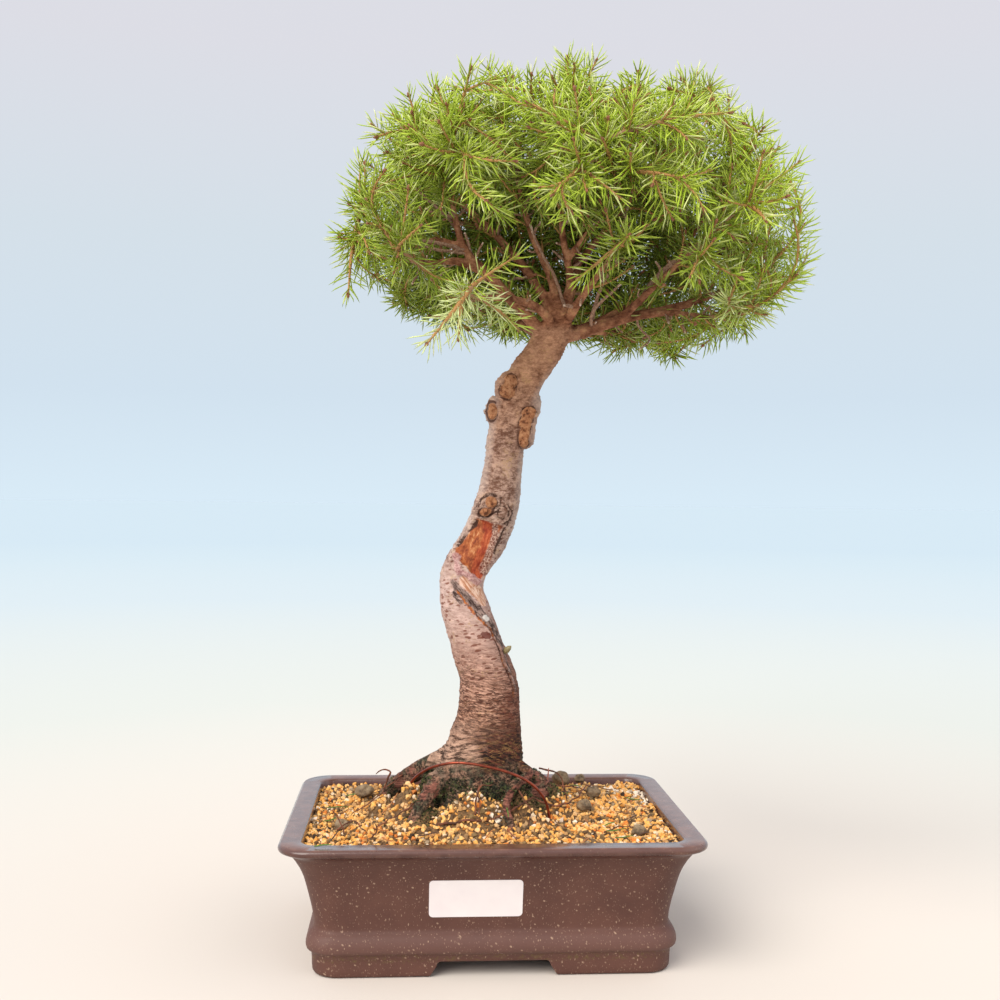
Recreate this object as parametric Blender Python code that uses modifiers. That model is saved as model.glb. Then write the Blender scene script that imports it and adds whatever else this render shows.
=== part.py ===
"""A spruce bonsai in its clay pot: wood, needle sprays, soil, tie wire, drain screens and a paper label.

Metres, +Z up, the pot's long side facing -Y. Every piece is drawn round the pot's middle and hangs on one
empty, which sets the pot so that the middle of the whole plant's outline stands over the origin.
"""

import math
import random

import bmesh
import bpy
import numpy
from mathutils import Matrix, Vector

MM = 0.001
GAP = 0.3 * MM

# Place of the pot under the crown
POT_PLACE = (-36.5 * MM, -2.3 * MM, 0.0)

# Pot
POT_LENGTH = 230 * MM
POT_DEPTH = 172 * MM
POT_CORNER = 18 * MM
INNER_CORNER = 9 * MM
CORNER_STEPS = 4
BASE_UNDERSIDE = 8.8 * MM
POT_FLOOR = 15 * MM
FOOT_RING = 30 * MM
ARCH_FRONT = (60 * MM, 70 * MM)
ARCH_SIDE = (46 * MM, 54 * MM)
DRAIN_X = 46 * MM
DRAIN_RADIUS = 9 * MM

# Pot profile as inset from the rim's outline and height, up the outside and down the inside
OUTER_PROFILE = (
    (19.5, 0.0), (17.6, 2.0), (17.0, 11.2), (14.6, 14.2), (14.2, 18.0), (15.6, 22.0), (17.8, 24.6), (18.0, 28.0),
    (17.2, 34.0), (15.2, 43.0), (12.6, 53.0), (9.6, 60.0), (5.6, 66.2), (2.0, 68.4), (0.2, 69.6), (0.0, 71.6),
    (1.4, 73.1),
)
INNER_PROFILE = ((10.8, 73.1), (12.2, 71.8), (14.2, 64.0), (19.0, 50.0), (24.6, 30.0), (25.6, 15.0))

# Label
LABEL_LENGTH = 50 * MM
LABEL_X = -10 * MM
LABEL_LOW = 32.5 * MM
LABEL_HIGH = 53.5 * MM
LABEL_THICKNESS = 0.6 * MM

# Drain screens
SCREEN_SIDE = 26 * MM
SCREEN_THICKNESS = 1.2 * MM
SCREEN_CELLS = 5

# Tie wire, from its left end under the base, over the roots, to its right end
WIRE_RADIUS = 0.8 * MM
WIRE_POINTS = 38
WIRE_ROUTE = (
    (-60, -4.6, 7.2), (-54, -4.6, 7.2), (-51.2, -4.6, 8.6), (-50.4, -4.6, 12), (-50.4, -4.6, 20), (-51, -6, 42),
    (-52, -10, 64), (-51, -13, 80), (-47, -17, 92), (-40, -24, 100), (-31, -31, 105), (-20, -36, 107.5),
    (-6, -38.5, 106.5), (8, -39, 103), (19, -38, 98), (27, -36, 91), (31.5, -33, 83), (34, -29, 72), (39, -19, 55),
    (42, -9, 38), (41.6, -4.6, 20), (41.6, -4.6, 12), (42.4, -4.6, 8.6), (45.2, -4.6, 7.2), (51, -4.6, 7.2),
)

# Soil
SOIL_EDGE = 69.5 * MM
MOUND_HEIGHT = 9.5 * MM
MOUND_SPREAD = 46 * MM
GRAIN_RELIEF = 1.9 * MM
GRAIN_CELL = 10 * MM
SOIL_SEED = 11
PEBBLES = (
    (44, -2, 79.5, 7.0), (52, -8, 76.5, 5.2), (-66, -2, 77.5, 4.6), (-16, -44, 77.5, 3.6), (68, 34, 73.5, 4.4),
    (-58, 44, 74.5, 4.6), (20, 52, 76.0, 4.8), (-84, -30, 71.5, 4.2), (82, -46, 71.5, 4.0),
)

# Trunk, as the axis and its radius, from under the soil to the fork
TRUNK_SIDES = 5
TRUNK_RINGS = 24
TRUNK_AXIS = (
    (-5, -5, 56, 24), (-5, -5, 70, 29), (-5, -5, 86, 28.5), (-4, -5, 99, 25.5), (-2, -4, 114, 21.5),
    (0, -3, 128, 18.8), (0, -2, 149, 17.7), (-5, -2, 167, 16.8), (-11.4, -2, 184, 15.6), (-16.4, -2, 199, 13.4),
    (-16, -1, 211, 13.2), (-11, 0, 221, 13.0), (-4, 0, 232, 13.4), (1, 0, 244, 13.3), (5, 0, 258, 12.4),
    (7, 0, 276, 11.4), (9, 0, 294, 11.0), (13, 0, 312, 11.2), (20, 0, 328, 11.0), (29, 0, 342, 10.8),
    (36, 0, 354, 10.2), (40, 0, 364, 7.4), (42, 0, 372, 4.0),
)
ROOTS = (
    (6.5, 4.0, ((-18, 2, 106), (-36, 7, 98), (-49, 10, 91), (-60, 11, 80), (-69, 12, 62))),
    (5.2, 3.6, ((-16, -14, 106), (-26, -20, 97), (-34, -27, 90), (-41, -34, 80), (-46, -40, 62))),
    (3.0, 2.2, ((14, -14, 104), (22, -22, 98), (13, -31, 93), (8, -38, 86), (9, -43, 78), (15, -50, 60))),
    (7.0, 4.6, ((8, 2, 101), (22, 0, 92), (32, 3, 84), (40, 6, 76), (46, 9, 62))),
    (6.0, 3.8, ((-12, 8, 106), (-24, 24, 93), (-34, 35, 80), (-42, 43, 62))),
    (5.5, 3.6, ((6, 8, 105), (17, 25, 92), (26, 37, 80), (33, 46, 62))),
)
LUMP_SIDES = 7
LUMP_RINGS = 4
ROOT_POINTS = 6
# Healed branch scars as middle, half sizes across, out and up, and lean
SCARS = (
    ((8.5, -10.0, 320), (5.0, 4.2, 6.6), 16), ((1.6, -6.0, 307), (3.2, 4.4, 5.6), 0),
    ((19.5, -9.5, 299), (4.2, 3.6, 7.2), 6), ((-1.5, -13.0, 254), (4.2, 3.0, 3.8), 0),
    ((-3.6, -12.6, 248.5), (3.6, 3.0, 3.4), 0),
)
WOUND_MIDDLE = (-6, -18.2, 226)
WOUND_SIZE = (10.5, 7.6, 19)
WOUND_LEAN = 24

# Limbs, as radius at the foot, radius at the end and route. Those of the front follow the seen branches.
LIMB_POINTS = 5
THICK_LIMB = 2.8 * MM
LIMBS = {
    "right_low": (4.6, 1.9, ((34, 0, 350), (49, -2, 354), (77, -8, 363), (105, -12, 369), (133, -18, 378))),
    "right_low_front": (2.3, 1.5, ((86, -9, 365), (103, -19, 365), (122, -33, 361))),
    "right_mid": (3.8, 1.7, ((52, -3, 355), (75, 0, 367), (91, 8, 377), (114, 22, 398), (144, 30, 411))),
    "right_high": (2.3, 1.5, ((97, 12, 382), (114, 8, 404), (126, 0, 428))),
    "right_back": (3.8, 1.7, ((40, 1, 356), (64, 22, 360), (86, 48, 362), (100, 70, 362))),
    "leader": (3.6, 1.5, ((40, 0, 360), (46, 0, 379), (51, 6, 402), (60, 12, 440))),
    "leader_right": (2.2, 1.5, ((49, 4, 395), (68, -10, 418), (88, -26, 440))),
    "front_high": (3.2, 1.5, ((41, -1, 365), (45, -6, 384), (38, -22, 410), (36, -36, 436))),
    "front_mid": (2.1, 1.5, ((42, -14, 396), (54, -40, 410), (62, -64, 422))),
    "back_high": (3.2, 1.5, ((41, 1, 364), (50, 22, 396), (57, 42, 424))),
    "left_high_front": (4.4, 1.6, ((34, -1, 348), (20, -5, 363), (-2, -14, 384), (-19, -23, 400), (-27, -27, 430))),
    "left_high_back": (3.6, 1.5, ((39, 0, 362), (20, 1, 391), (-3, 5, 417), (-28, 12, 440))),
    "left_high_middle": (3.0, 1.5, ((40, -1, 364), (33, -4, 388), (21, -10, 412), (12, -14, 442))),
    "left_low": (2.6, 1.6, ((-6, -16, 387), (-22, -24, 391), (-35, -33, 388), (-47, -41, 387))),
    "left_tip": (2.4, 1.5, ((-17, -22, 398), (-34, -22, 403), (-48, -18, 401), (-62, -14, 406))),
    "left_back_low": (3.8, 1.7, ((34, 1, 350), (14, 19, 365), (-8, 39, 376), (-30, 57, 384))),
    "left_back_mid": (2.2, 1.5, ((-2, 5, 416), (-17, 25, 424), (-34, 43, 432))),
    "front_left": (3.0, 1.6, ((38, -1, 356), (24, -22, 366), (4, -40, 368), (-16, -56, 364))),
    "front_low": (3.2, 1.6, ((41, -1, 358), (50, -30, 373), (58, -60, 385))),
    "front_right": (2.6, 1.5, ((74, -7, 362), (89, -32, 377), (104, -58, 392))),
    "back_low": (3.4, 1.6, ((40, 1, 360), (46, 34, 374), (50, 66, 384))),
    "back_left": (2.3, 1.5, ((43, 24, 370), (20, 52, 396), (8, 74, 406))),
    "back_right": (2.2, 1.5, ((48, 18, 390), (76, 44, 410), (96, 62, 422))),
}

# Crown, the dome that the shoots reach: its heart, half sizes and how far it hangs below its heart
CROWN_HEART = (47, 0, 405)
CROWN_ACROSS = 129
CROWN_DEEP = 115
CROWN_UP = 95
CROWN_DOWN = 36
CROWN_DOWN_RIGHT = 24
CROWN_DOWN_BACK = 12
CROWN_POWER = 2.7
CROWN_SEED = 5
SHELL_POINTS = 76
SHELL_LOWEST = -0.5
SHELL_SPREAD = 0.04
SEEN_ROOM = 29
# Shoot tips that stand out in the crown's outline and on its front
SEEN_TIPS = (
    (-6, -30, 499), (-36, -20, 491), (-51, 0, 492), (-71, 0, 474), (-79, 0, 451), (-81, -8, 431), (-88, -10, 408),
    (-84, -22, 372), (-39, -80, 337), (-22, -52, 344), (12, -32, 352), (44, 0, 508), (81, -40, 482), (105, 0, 502),
    (133, 0, 490), (166, 0, 466), (179, -4, 444), (181, 0, 411), (168, 0, 377), (160, 30, 362), (122, 60, 349),
    (82, 60, 352), (18, -44, 478), (-40, -66, 446), (-52, -44, 398), (128, -50, 362),
)

# Twigs and needles
TWIG_RADIUS = 1.3 * MM
SHOOT_RADIUS = 0.85 * MM
TWIG_POINTS = 4
BRANCH_FIRST = 0.12
BRANCH_LAST = 0.58
TWIG_CLEARANCE = 1.0 * MM
SPRAY_GAP = 0.5 * MM
TWIG_PARTING = 0.8
SHOOT_LENGTH = 36 * MM
NEEDLE_LENGTH = 13 * MM
NEEDLE_RADIUS = 0.7 * MM
NEEDLE_NECK = 2.4 * MM
NEEDLES_PER_SHOOT = 6
NEEDLE_LEAN = math.radians(50)
TIP_SINK = 1.2 * MM
NEEDLE_TRIES = 7
NEEDLE_CLEARANCE = 0.45 * MM
GOLDEN_ANGLE = math.pi * (3 - math.sqrt(5))
FLAT_ANGLE = math.radians(1.5)


def clear_scene():
    for obj in list(bpy.data.objects):
        bpy.data.objects.remove(obj)


def new_collection(name, parent):
    collection = bpy.data.collections.new(name)
    parent.children.link(collection)
    return collection


def new_material(name, colour, roughness, metallic=0.0):
    material = bpy.data.materials.new(name)
    material.use_nodes = True
    shader = material.node_tree.nodes["Principled BSDF"]
    shader.inputs["Base Color"].default_value = (*colour, 1)
    shader.inputs["Roughness"].default_value = roughness
    shader.inputs["Metallic"].default_value = metallic
    return material


def planed(obj):
    """Merges the flat slivers that a union leaves in an object's faces."""
    bm = bmesh.new()
    bm.from_mesh(obj.data)
    bmesh.ops.dissolve_limit(
        bm, angle_limit=FLAT_ANGLE, verts=bm.verts, edges=bm.edges, use_dissolve_boundaries=False,
    )
    bmesh.ops.triangulate(bm, faces=bm.faces)
    bm.to_mesh(obj.data)
    bm.free()
    return obj


def place(name, mesh, collection, material=None):
    """Links a mesh as an object and gives it the material."""
    obj = bpy.data.objects.new(name, mesh)
    collection.objects.link(obj)
    if material:
        mesh.materials.clear()
        mesh.materials.append(material)
    return obj


def mesh_of(bm, name):
    bmesh.ops.recalc_face_normals(bm, faces=bm.faces)
    mesh = bpy.data.meshes.new(name)
    bm.to_mesh(mesh)
    bm.free()
    return mesh


def as_cutter(obj):
    obj.hide_render = True
    obj.display_type = "WIRE"
    return obj


def applied(obj):
    """Turns an object's modifiers into its mesh."""
    bpy.context.view_layer.update()
    graph = bpy.context.evaluated_depsgraph_get()
    mesh = bpy.data.meshes.new_from_object(obj.evaluated_get(graph))
    obj.modifiers.clear()
    obj.data = mesh
    return obj


def boolean(obj, operation, other, solver="EXACT"):
    """Adds a Boolean with one object or with a whole collection."""
    modifier = obj.modifiers.new(operation.title(), "BOOLEAN")
    modifier.operation = operation
    modifier.solver = solver
    if isinstance(other, bpy.types.Collection):
        modifier.operand_type = "COLLECTION"
        modifier.collection = other
    else:
        modifier.object = other


def drop_scraps(obj):
    """Keeps the largest connected body of an object's mesh, and drops loose crumbs cut off beside it."""
    bm = bmesh.new()
    bm.from_mesh(obj.data)
    waiting = set(bm.verts)
    bodies = []
    while waiting:
        body, edge_of_body = set(), [waiting.pop()]
        while edge_of_body:
            vert = edge_of_body.pop()
            body.add(vert)
            near = {edge.other_vert(vert) for edge in vert.link_edges} & waiting
            waiting -= near
            edge_of_body.extend(near)
        bodies.append(body)
    largest = max(bodies, key=len)
    bmesh.ops.delete(bm, geom=[vert for vert in bm.verts if vert not in largest], context="VERTS")
    bm.to_mesh(obj.data)
    bm.free()


def empty_out(collection):
    for obj in list(collection.objects):
        bpy.data.objects.remove(obj)
    bpy.data.collections.remove(collection)


def millimetres(*values):
    return Vector(values) * MM


def smooth_route(points, count):
    """Points at even steps of a Catmull-Rom curve through vectors of any size."""
    ends = [points[0] * 2 - points[1], *points, points[-1] * 2 - points[-2]]
    route = []
    for index in range(count):
        along = index / (count - 1) * (len(points) - 1)
        span = min(int(along), len(points) - 2)
        t = along - span
        a, b, c, d = ends[span:span + 4]
        route.append(
            (b * 2 + (c - a) * t + (a * 2 - b * 5 + c * 4 - d) * t ** 2 + (b * 3 - a - c * 3 + d) * t ** 3) / 2
        )
    return route


def tapered(start, end, count):
    return [start + (end - start) * index / (count - 1) for index in range(count)]


def tube(name, points, radii, resolution, collection):
    """A closed tube through the points, made as a bevelled curve and turned into a mesh."""
    curve = bpy.data.curves.new(name, "CURVE")
    curve.dimensions = "3D"
    curve.bevel_depth = 1.0
    curve.bevel_resolution = resolution
    curve.use_fill_caps = True
    spline = curve.splines.new("POLY")
    spline.points.add(len(points) - 1)
    for knot, point, radius in zip(spline.points, points, radii):
        knot.co = (*point, 1)
        knot.radius = radius
    guide = place(name, curve, collection)
    bpy.context.view_layer.update()
    graph = bpy.context.evaluated_depsgraph_get()
    bm = bmesh.new()
    bm.from_mesh(bpy.data.meshes.new_from_object(guide.evaluated_get(graph)))
    bpy.data.objects.remove(guide)
    bmesh.ops.remove_doubles(bm, verts=bm.verts, dist=0.01 * MM)
    return place(name, mesh_of(bm, name), collection)


def rounded_ring(bm, length, depth, corner, height):
    """Vertices of a rounded rectangle, counterclockwise seen from above."""
    ring = []
    for quarter, (side_x, side_y) in enumerate(((1, 1), (-1, 1), (-1, -1), (1, -1))):
        centre = Vector((side_x * (length / 2 - corner), side_y * (depth / 2 - corner), height))
        for step in range(CORNER_STEPS + 1):
            angle = (quarter + step / CORNER_STEPS) * math.pi / 2
            ring.append(bm.verts.new(centre + Vector((math.cos(angle), math.sin(angle), 0)) * corner))
    return ring


def loft(sections, name):
    """A closed solid through rounded rectangles given as length, depth, corner and height."""
    bm = bmesh.new()
    rings = [rounded_ring(bm, *section) for section in sections]
    for lower, upper in zip(rings, rings[1:]):
        for index in range(len(lower)):
            after = (index + 1) % len(lower)
            bm.faces.new((lower[index], lower[after], upper[after], upper[index]))
    bm.faces.new(reversed(rings[0]))
    bm.faces.new(rings[-1])
    return mesh_of(bm, name)


def pot_section(inset, height, corner, clearance=0.0):
    """One rounded rectangle of the pot, its corner easing as the wall draws in."""
    shrink = 2 * (inset * MM + clearance)
    eased = max(corner - inset * MM * 0.25, 6 * MM)
    return POT_LENGTH - shrink, POT_DEPTH - shrink, eased, height * MM


def wall_inset(height):
    """Inset of the pot's outer wall at a height."""
    for (inset_a, low), (inset_b, high) in zip(OUTER_PROFILE, OUTER_PROFILE[1:]):
        if low * MM <= height <= high * MM:
            return (inset_a + (inset_b - inset_a) * (height / MM - low) / (high - low)) * MM
    return 0.0


def block(name, size, centre, collection):
    bm = bmesh.new()
    bmesh.ops.create_cube(bm, size=1, matrix=Matrix.Translation(centre) @ Matrix.Diagonal((*size, 1)))
    return as_cutter(place(name, mesh_of(bm, name), collection))


def arch_cutter(name, widths, turn, collection):
    """The opening between two feet: a bar with leaning sides, right through under the base."""
    top, bottom = widths
    reach = POT_LENGTH
    bm = bmesh.new()
    low = -5 * MM
    slope = (bottom - top) / 2 / BASE_UNDERSIDE
    outline = (
        (-bottom / 2 + slope * low, low), (bottom / 2 - slope * low, low),
        (top / 2 + 1.5 * MM, BASE_UNDERSIDE - 2.5 * MM), (top / 2 - 1.5 * MM, BASE_UNDERSIDE),
        (-top / 2 + 1.5 * MM, BASE_UNDERSIDE), (-top / 2 - 1.5 * MM, BASE_UNDERSIDE - 2.5 * MM),
    )
    ends = [[bm.verts.new((x, y, z)) for x, z in outline] for y in (-reach, reach)]
    bm.faces.new(ends[0])
    bm.faces.new(reversed(ends[1]))
    for index in range(len(outline)):
        after = (index + 1) % len(outline)
        bm.faces.new((ends[0][after], ends[0][index], ends[1][index], ends[1][after]))
    bmesh.ops.rotate(bm, verts=bm.verts, matrix=Matrix.Rotation(turn, 3, "Z"))
    return as_cutter(place(name, mesh_of(bm, name), collection))


def drain_cutter(name, x, collection):
    bm = bmesh.new()
    bmesh.ops.create_cone(
        bm, cap_ends=True, segments=16, radius1=DRAIN_RADIUS, radius2=DRAIN_RADIUS, depth=POT_FLOOR,
        matrix=Matrix.Translation((x, 0, POT_FLOOR * 0.8)),
    )
    return as_cutter(place(name, mesh_of(bm, name), collection))


def make_pot(parts, cutters):
    """Rounded rectangular pot with a flared lip, a bead over the feet, arches between them and two drain holes."""
    clay = new_material("unglazed_clay", (0.17, 0.085, 0.065), 0.55)
    sections = [pot_section(inset, height, POT_CORNER) for inset, height in OUTER_PROFILE]
    sections += [pot_section(inset, height, INNER_CORNER + 4 * MM) for inset, height in INNER_PROFILE]
    pot = place("pot", loft(sections, "pot"), parts, clay)
    hollow_size = (POT_LENGTH - 2 * FOOT_RING, POT_DEPTH - 2 * FOOT_RING, 2 * BASE_UNDERSIDE)
    boolean(pot, "DIFFERENCE", block("base_hollow", hollow_size, (0, 0, 0), cutters))
    boolean(pot, "DIFFERENCE", arch_cutter("arch_front", ARCH_FRONT, 0, cutters))
    boolean(pot, "DIFFERENCE", arch_cutter("arch_side", ARCH_SIDE, math.pi / 2, cutters))
    for side in (-1, 1):
        boolean(pot, "DIFFERENCE", drain_cutter("drain_hole", side * DRAIN_X, cutters))
    return pot


def make_label(parts):
    """Blank paper label, bent to the front wall."""
    paper = new_material("label_paper", (0.9, 0.9, 0.88), 0.5)
    rows = 4
    bm = bmesh.new()
    bmesh.ops.create_grid(bm, x_segments=1, y_segments=rows, size=0.5)
    for vert in bm.verts:
        height = LABEL_LOW + (vert.co.y + 0.5) * (LABEL_HIGH - LABEL_LOW)
        wall = -(POT_DEPTH / 2 - wall_inset(height))
        vert.co = (LABEL_X + vert.co.x * LABEL_LENGTH, wall - 1.2 * GAP, height)
    bmesh.ops.recalc_face_normals(bm, faces=bm.faces)
    if bm.faces[:][0].normal.y > 0:
        bmesh.ops.reverse_faces(bm, faces=bm.faces)
    mesh = bpy.data.meshes.new("label")
    bm.to_mesh(mesh)
    bm.free()
    label = place("label", mesh, parts, paper)
    skin = label.modifiers.new("Paper", "SOLIDIFY")
    skin.thickness = LABEL_THICKNESS
    skin.offset = 1
    return label


def make_screen(name, x, parts):
    """Plastic drain screen: a plate with square holes, lying on the pot's floor over a drain hole."""
    plastic = new_material("screen_plastic", (0.02, 0.02, 0.02), 0.45)
    bm = bmesh.new()
    bmesh.ops.create_grid(bm, x_segments=SCREEN_CELLS, y_segments=SCREEN_CELLS, size=SCREEN_SIDE / 2)
    cell = SCREEN_SIDE / SCREEN_CELLS
    holes = []
    for face in bm.faces:
        column, row = (round(value / cell) for value in face.calc_center_median().xy)
        if column % 2 and row % 2:
            holes.append(face)
    bmesh.ops.delete(bm, geom=holes, context="FACES")
    bmesh.ops.translate(bm, verts=bm.verts, vec=(x, 0, POT_FLOOR + GAP))
    mesh = bpy.data.meshes.new(name)
    bm.to_mesh(mesh)
    bm.free()
    screen = place(name, mesh, parts, plastic)
    plate = screen.modifiers.new("Plate", "SOLIDIFY")
    plate.thickness = SCREEN_THICKNESS
    plate.offset = 1
    return screen


def wire_route():
    return smooth_route([millimetres(*point) for point in WIRE_ROUTE], WIRE_POINTS)


def make_wire(parts):
    """Copper tie wire over the roots, through both screens and drain holes, its ends bent flat under the base."""
    copper = new_material("copper_wire", (0.35, 0.11, 0.06), 0.35, 1.0)
    wire = tube("anchor_wire", wire_route(), [WIRE_RADIUS] * WIRE_POINTS, 1, parts)
    wire.data.materials.append(copper)
    return wire


def wood_tubes(grow, collection):
    """The trunk's foot and the roots, fatter by `grow`: the wood itself, or the holes it stands in."""
    axis = [Vector(point) for point in TRUNK_AXIS]
    stations = smooth_route(axis, TRUNK_RINGS)
    trunk = tube(
        "trunk", [point.xyz * MM for point in stations], [point.w * MM + grow for point in stations],
        TRUNK_SIDES, collection,
    )
    tubes = [trunk]
    for index, (thick, thin, route) in enumerate(ROOTS):
        points = smooth_route([millimetres(*point) for point in route], ROOT_POINTS)
        radii = [radius * MM + grow for radius in tapered(thick, thin, ROOT_POINTS)]
        tubes.append(tube(f"root_{index}", points, radii, 1, collection))
    return tubes


def limb_route(name):
    thick, thin, route = LIMBS[name]
    points = smooth_route([millimetres(*point) for point in route], LIMB_POINTS)
    return points, [radius * MM for radius in tapered(thick, thin, LIMB_POINTS)]


def make_ball(name, middle, size, lean, collection):
    """An egg-shaped lump, leaning about the Y axis."""
    bm = bmesh.new()
    bmesh.ops.create_uvsphere(bm, u_segments=LUMP_SIDES, v_segments=LUMP_RINGS, radius=1)
    turned = Matrix.Rotation(math.radians(lean), 4, "Y") @ Matrix.Diagonal((*millimetres(*size), 1))
    bmesh.ops.transform(bm, verts=bm.verts, matrix=Matrix.Translation(millimetres(*middle)) @ turned)
    return place(name, mesh_of(bm, name), collection)


def make_trunk(parts, cutters):
    """Roots, trunk, scars and limbs as one piece of wood, with the bare wound cut into its front."""
    bark = new_material("spruce_bark", (0.30, 0.19, 0.14), 0.8)
    growth = new_collection("trunk_growth", parts)
    trunk, *roots = wood_tubes(0, growth)
    growth.objects.unlink(trunk)
    parts.objects.link(trunk)
    for name in LIMBS:
        points, radii = limb_route(name)
        tube(f"limb_{name}", points, radii, 1 if radii[0] > THICK_LIMB else 0, growth)
    for index, scar in enumerate(SCARS):
        make_ball(f"scar_{index}", *scar, growth)
    boolean(trunk, "UNION", growth)
    wound = as_cutter(make_ball("wound", WOUND_MIDDLE, WOUND_SIZE, WOUND_LEAN, cutters))
    boolean(trunk, "DIFFERENCE", wound)
    planed(applied(trunk))
    trunk.data.materials.clear()
    trunk.data.materials.append(bark)
    empty_out(growth)
    return trunk


def soil_height(x, y, chance):
    """Height of the gravel at a place: a low mound round the trunk, with the relief of its grains."""
    away = math.hypot(x, y * 1.15)
    mound = MOUND_HEIGHT * math.exp(-(away / MOUND_SPREAD) ** 2)
    return SOIL_EDGE + mound + chance.uniform(-GRAIN_RELIEF, GRAIN_RELIEF)


def make_soil(parts, cutters):
    """Gravel that fills the pot, with larger pebbles in it and plain holes for the roots, the wire and screens."""
    gravel = new_material("ochre_gravel", (0.55, 0.34, 0.14), 0.9)
    chance = random.Random(SOIL_SEED)
    columns = round(POT_LENGTH / GRAIN_CELL)
    rows = round(POT_DEPTH / GRAIN_CELL)
    bm = bmesh.new()
    bmesh.ops.create_grid(bm, x_segments=columns, y_segments=rows, size=0.5)
    for vert in bm.verts:
        x, y = vert.co.x * POT_LENGTH, vert.co.y * POT_DEPTH
        vert.co = (x, y, soil_height(x, y, chance))
    top = bm.faces[:]
    bmesh.ops.triangulate(bm, faces=top)
    skirt = bmesh.ops.extrude_edge_only(bm, edges=[edge for edge in bm.edges if edge.is_boundary])
    for vert in (item for item in skirt["geom"] if isinstance(item, bmesh.types.BMVert)):
        vert.co.z = 0
    bmesh.ops.contextual_create(bm, geom=[edge for edge in bm.edges if edge.is_boundary])
    soil = place("soil", mesh_of(bm, "soil"), parts, gravel)
    stones = new_collection("soil_stones", parts)
    for index, (x, y, z, size) in enumerate(PEBBLES):
        make_ball(f"pebble_{index}", (x, y, z), (size, size * 0.8, size * 0.65), 0, stones)
    boolean(soil, "UNION", stones)
    fill = [pot_section(inset, height, INNER_CORNER + 4 * MM, GAP * 1.4) for inset, height in INNER_PROFILE[:0:-1]]
    length, depth, corner, _ = fill[-1]
    fill[0] = (*fill[0][:3], POT_FLOOR + GAP)
    fill.append((length, depth, corner, 2 * SOIL_EDGE))
    boolean(soil, "INTERSECT", as_cutter(place("soil_fill", loft(fill, "soil_fill"), cutters)))
    holes = new_collection("soil_holes", cutters)
    for hole in wood_tubes(1.2 * GAP, holes):
        as_cutter(hole)
    as_cutter(tube("wire_hole", wire_route(), [WIRE_RADIUS + 1.2 * GAP] * WIRE_POINTS, 1, holes))
    for side in (-1, 1):
        size = (SCREEN_SIDE + 2 * GAP, SCREEN_SIDE + 2 * GAP, 2 * (SCREEN_THICKNESS + 2 * GAP))
        block("screen_seat", size, (side * DRAIN_X, 0, POT_FLOOR), holes)
    boolean(soil, "DIFFERENCE", holes)
    drop_scraps(applied(soil))
    soil.data.materials.clear()
    soil.data.materials.append(gravel)
    empty_out(stones)
    empty_out(holes)
    return soil


class Room:
    """The straight pieces of wood and needle laid so far, to keep new ones clear of them."""

    def __init__(self):
        self.starts, self.ends, self.radii, self.owners = [], [], [], []

    def add(self, points, radii, owner):
        for start, end, radius in zip(points, points[1:], radii):
            self.starts.append(tuple(start))
            self.ends.append(tuple(end))
            self.radii.append(radius)
            self.owners.append(owner)

    def clearance(self, start, end, radius, apart_from=None):
        """Least gap between a straight piece and all laid ones, except one owner's."""
        if not self.starts:
            return math.inf
        start, end = numpy.array(start), numpy.array(end)
        starts, ends = numpy.array(self.starts), numpy.array(self.ends)
        own, other, between = end - start, ends - starts, start - starts
        a, e, b = own @ own, (other ** 2).sum(1), other @ own
        c, f = between @ own, (between * other).sum(1)
        s = numpy.clip((b * f - c * e) / numpy.maximum(a * e - b * b, 1e-18), 0, 1)
        t = numpy.clip((b * s + f) / e, 0, 1)
        s = numpy.clip((b * t - c) / a, 0, 1)
        gaps = numpy.linalg.norm(between + s[:, None] * own - t[:, None] * other, axis=1)
        gaps -= numpy.array(self.radii) + radius
        if apart_from is not None:
            gaps = gaps[numpy.array([owner != apart_from for owner in self.owners])]
        return gaps.min() if len(gaps) else math.inf


def crown_reach(direction):
    """Distance from the crown's heart to its outline along a unit direction."""
    down = CROWN_DOWN + CROWN_DOWN_RIGHT * max(direction.x, 0) + CROWN_DOWN_BACK * max(direction.y, 0)
    upright = CROWN_UP if direction.z > 0 else down
    shares = (direction.x / CROWN_ACROSS, direction.y / CROWN_DEEP, direction.z / upright)
    return sum(abs(share) ** CROWN_POWER for share in shares) ** (-1 / CROWN_POWER)


def shoot_tips():
    """Tips of the outer shoots: those seen, then an even spread over the dome wherever these leave room."""
    chance = random.Random(CROWN_SEED)
    tips = [Vector(tip) for tip in SEEN_TIPS]
    seen = list(tips)
    for index in range(SHELL_POINTS):
        rise = 1 - (1 - SHELL_LOWEST) * (index + 0.5) / SHELL_POINTS
        turn = index * GOLDEN_ANGLE
        level = math.sqrt(1 - rise * rise)
        direction = Vector((math.cos(turn) * level, math.sin(turn) * level, rise))
        reach = crown_reach(direction) * (1 + chance.uniform(-SHELL_SPREAD, SHELL_SPREAD))
        tip = Vector(CROWN_HEART) + direction * reach
        if all((tip - other).length > SEEN_ROOM for other in seen):
            tips.append(tip)
    return [tip * MM for tip in tips]


def bent(start, pull, end, count):
    """A quadratic curve from start to end, leaving start towards pull."""
    steps = [index / (count - 1) for index in range(count)]
    return [start * (1 - t) ** 2 + pull * 2 * t * (1 - t) + end * t ** 2 for t in steps]


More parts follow.
